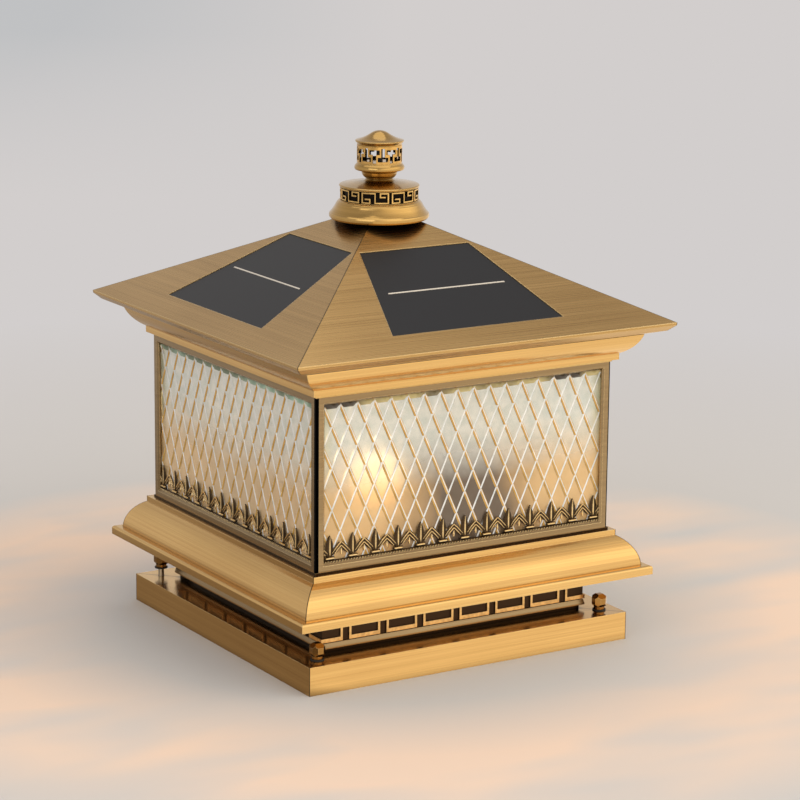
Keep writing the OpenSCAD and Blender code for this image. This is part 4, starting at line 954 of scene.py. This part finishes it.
opening = calc(tree, "MULTIPLY", opening, ramp(tree, towards, 0.45, 0.8))
studio_light = blend_colour(tree, calc(tree, "MULTIPLY", opening, 0.9), studio_light, OPENING_LIGHT)
path = add(tree, "ShaderNodeLightPath")
plain = calc(tree, "MAXIMUM", path.outputs["Is Camera Ray"], path.outputs["Is Transmission Ray"])
shown = blend_colour(tree, plain, studio_light, BACKDROP)
shade = add(tree, "ShaderNodeBackground", {"Color": shown, "Strength": 1.0})
end = add(tree, "ShaderNodeOutputWorld")
tree.links.new(shade.outputs[0], end.inputs[0])
print("world nodes:", len(tree.nodes))

# %% [markdown]
# ## The floor
# The lamp stands on a pale floor that runs into a pale wall, and its light makes a broken warm ring round it,
# which is painted into the floor's colour as a pool of light. A curved backdrop could join floor and wall,
# but its bend shows in the metal. So the floor is flat: near the lamp it takes light and shadow, and further
# off it fades to the backdrop's own colour. In the metal's reflections it is bright on the lamp's right and
# dim on its left.

# %% Floor
FLOOR_HALF = 8.0

floor_mesh = bpy.data.meshes.new("floor")
signs = ((-1, -1), (1, -1), (1, 1), (-1, 1))
floor_mesh.from_pydata([(x * FLOOR_HALF, y * FLOOR_HALF, 0) for x, y in signs], [], [(0, 1, 2, 3)])
floor = bpy.data.objects.new("floor", floor_mesh)
bpy.context.scene.collection.objects.link(floor)
print("floor:", 2 * FLOOR_HALF, "m wide")

# %% Floor material
RING_RADIUS = 0.37
RING_WIDTH = (0.15, 0.03)
FADE = (0.5, 1.3)
TO_RIGHT = (0.853, -0.522, 0)
TO_BACK = (0.522, 0.853, 0)
TO_BRIGHT_SIDE = (0.707, -0.707, 0)
PALE_FLOOR = (0.62, 0.6, 0.585, 1)
LIT_FLOOR = (0.88, 0.675, 0.535, 1)
COOL_WALL = (0.53, 0.535, 0.545, 1)
BRIGHT_IN_METAL = (1.1, 1.0, 0.85, 1)
DIM_IN_METAL = ((0.25, 0.2, 0.15, 1), (0.62, 0.58, 0.54, 1))

material, tree, place = start_material("floor")
distance = add(tree, "ShaderNodeVectorMath", {0: place}, operation="LENGTH").outputs["Value"]
streaks = grain(tree, place, (4, 9, 1), 2.0, 4.0)
off_ring = calc(tree, "ABSOLUTE", calc(tree, "SUBTRACT", distance, RING_RADIUS))
# Painted light: a broken warm ring of the lamp's light, painted into the floor's colour.
painted_light_pool = calc(tree, "MULTIPLY", ramp(tree, off_ring, *RING_WIDTH), ramp(tree, streaks, 0.26, 0.56))
across = along_axis(tree, place, TO_RIGHT)
away = along_axis(tree, place, TO_BACK)
cool = calc(tree, "MULTIPLY", ramp(tree, away, 2.2, 4.6), ramp(tree, across, 0.0, -0.8))
far_colour = blend_colour(tree, cool, BACKDROP, COOL_WALL)
near_colour = blend_colour(tree, painted_light_pool, PALE_FLOOR, LIT_FLOOR)
near = add(tree, "ShaderNodeBsdfPrincipled", {"Base Color": near_colour, "Roughness": 0.9})
bright_side = ramp(tree, along_axis(tree, place, TO_BRIGHT_SIDE), -0.01, 0.03)
dim = blend_colour(tree, ramp(tree, distance, 0.3, 1.0), *DIM_IN_METAL)
in_metal = blend_colour(tree, bright_side, dim, BRIGHT_IN_METAL)
path = add(tree, "ShaderNodeLightPath")
in_gloss = path.outputs["Is Glossy Ray"]
far = add(tree, "ShaderNodeEmission", {"Color": blend_colour(tree, in_gloss, far_colour, in_metal)})
seen = calc(tree, "MAXIMUM", path.outputs["Is Camera Ray"], path.outputs["Is Transmission Ray"])
far_share = calc(tree, "MULTIPLY", seen, ramp(tree, distance, *FADE))
end_material(tree, mix_shaders(tree, calc(tree, "MAXIMUM", far_share, in_gloss), near, far))
floor_mesh.materials.append(material)
print("warm ring's radius:", RING_RADIUS, "m")

# %% [markdown]
# ## Studio lamps
# A large soft lamp stands for the window, a weak one fills the left side and a third hangs over the roof.
# Sun lamps would give hard shadows, which the photo hasn't. The window lamp is hidden from reflections,
# because the world already shows a window there and two would be too bright.

# %% Lamps
def soft_box(name, place, aim, size, energy, colour):
    """A rectangular studio lamp."""
    data = bpy.data.lights.new(name, "AREA")
    data.shape = "RECTANGLE"
    data.size, data.size_y = size
    data.energy = energy
    data.color = colour
    box = bpy.data.objects.new(name, data)
    bpy.context.scene.collection.objects.link(box)
    box.location = place
    box.rotation_euler = (Vector(aim) - Vector(place)).to_track_quat("-Z", "Y").to_euler()
    return box


window = soft_box("window", (1.5, -2.1, 1.25), (0, 0, 0.15), (3.2, 2.2), 30, (1.0, 0.95, 0.88))
window.visible_glossy = False
soft_box("fill", (-1.8, -0.9, 1.3), (0, 0, 0.2), (1.6, 1.2), 7, (0.95, 0.97, 1.0))
soft_box("ceiling", (0, 0.3, 2.6), (0, 0, 0.2), (2.4, 2.4), 14, (1.0, 0.98, 0.95))
print("lamps:", [light.name for light in bpy.data.lights])
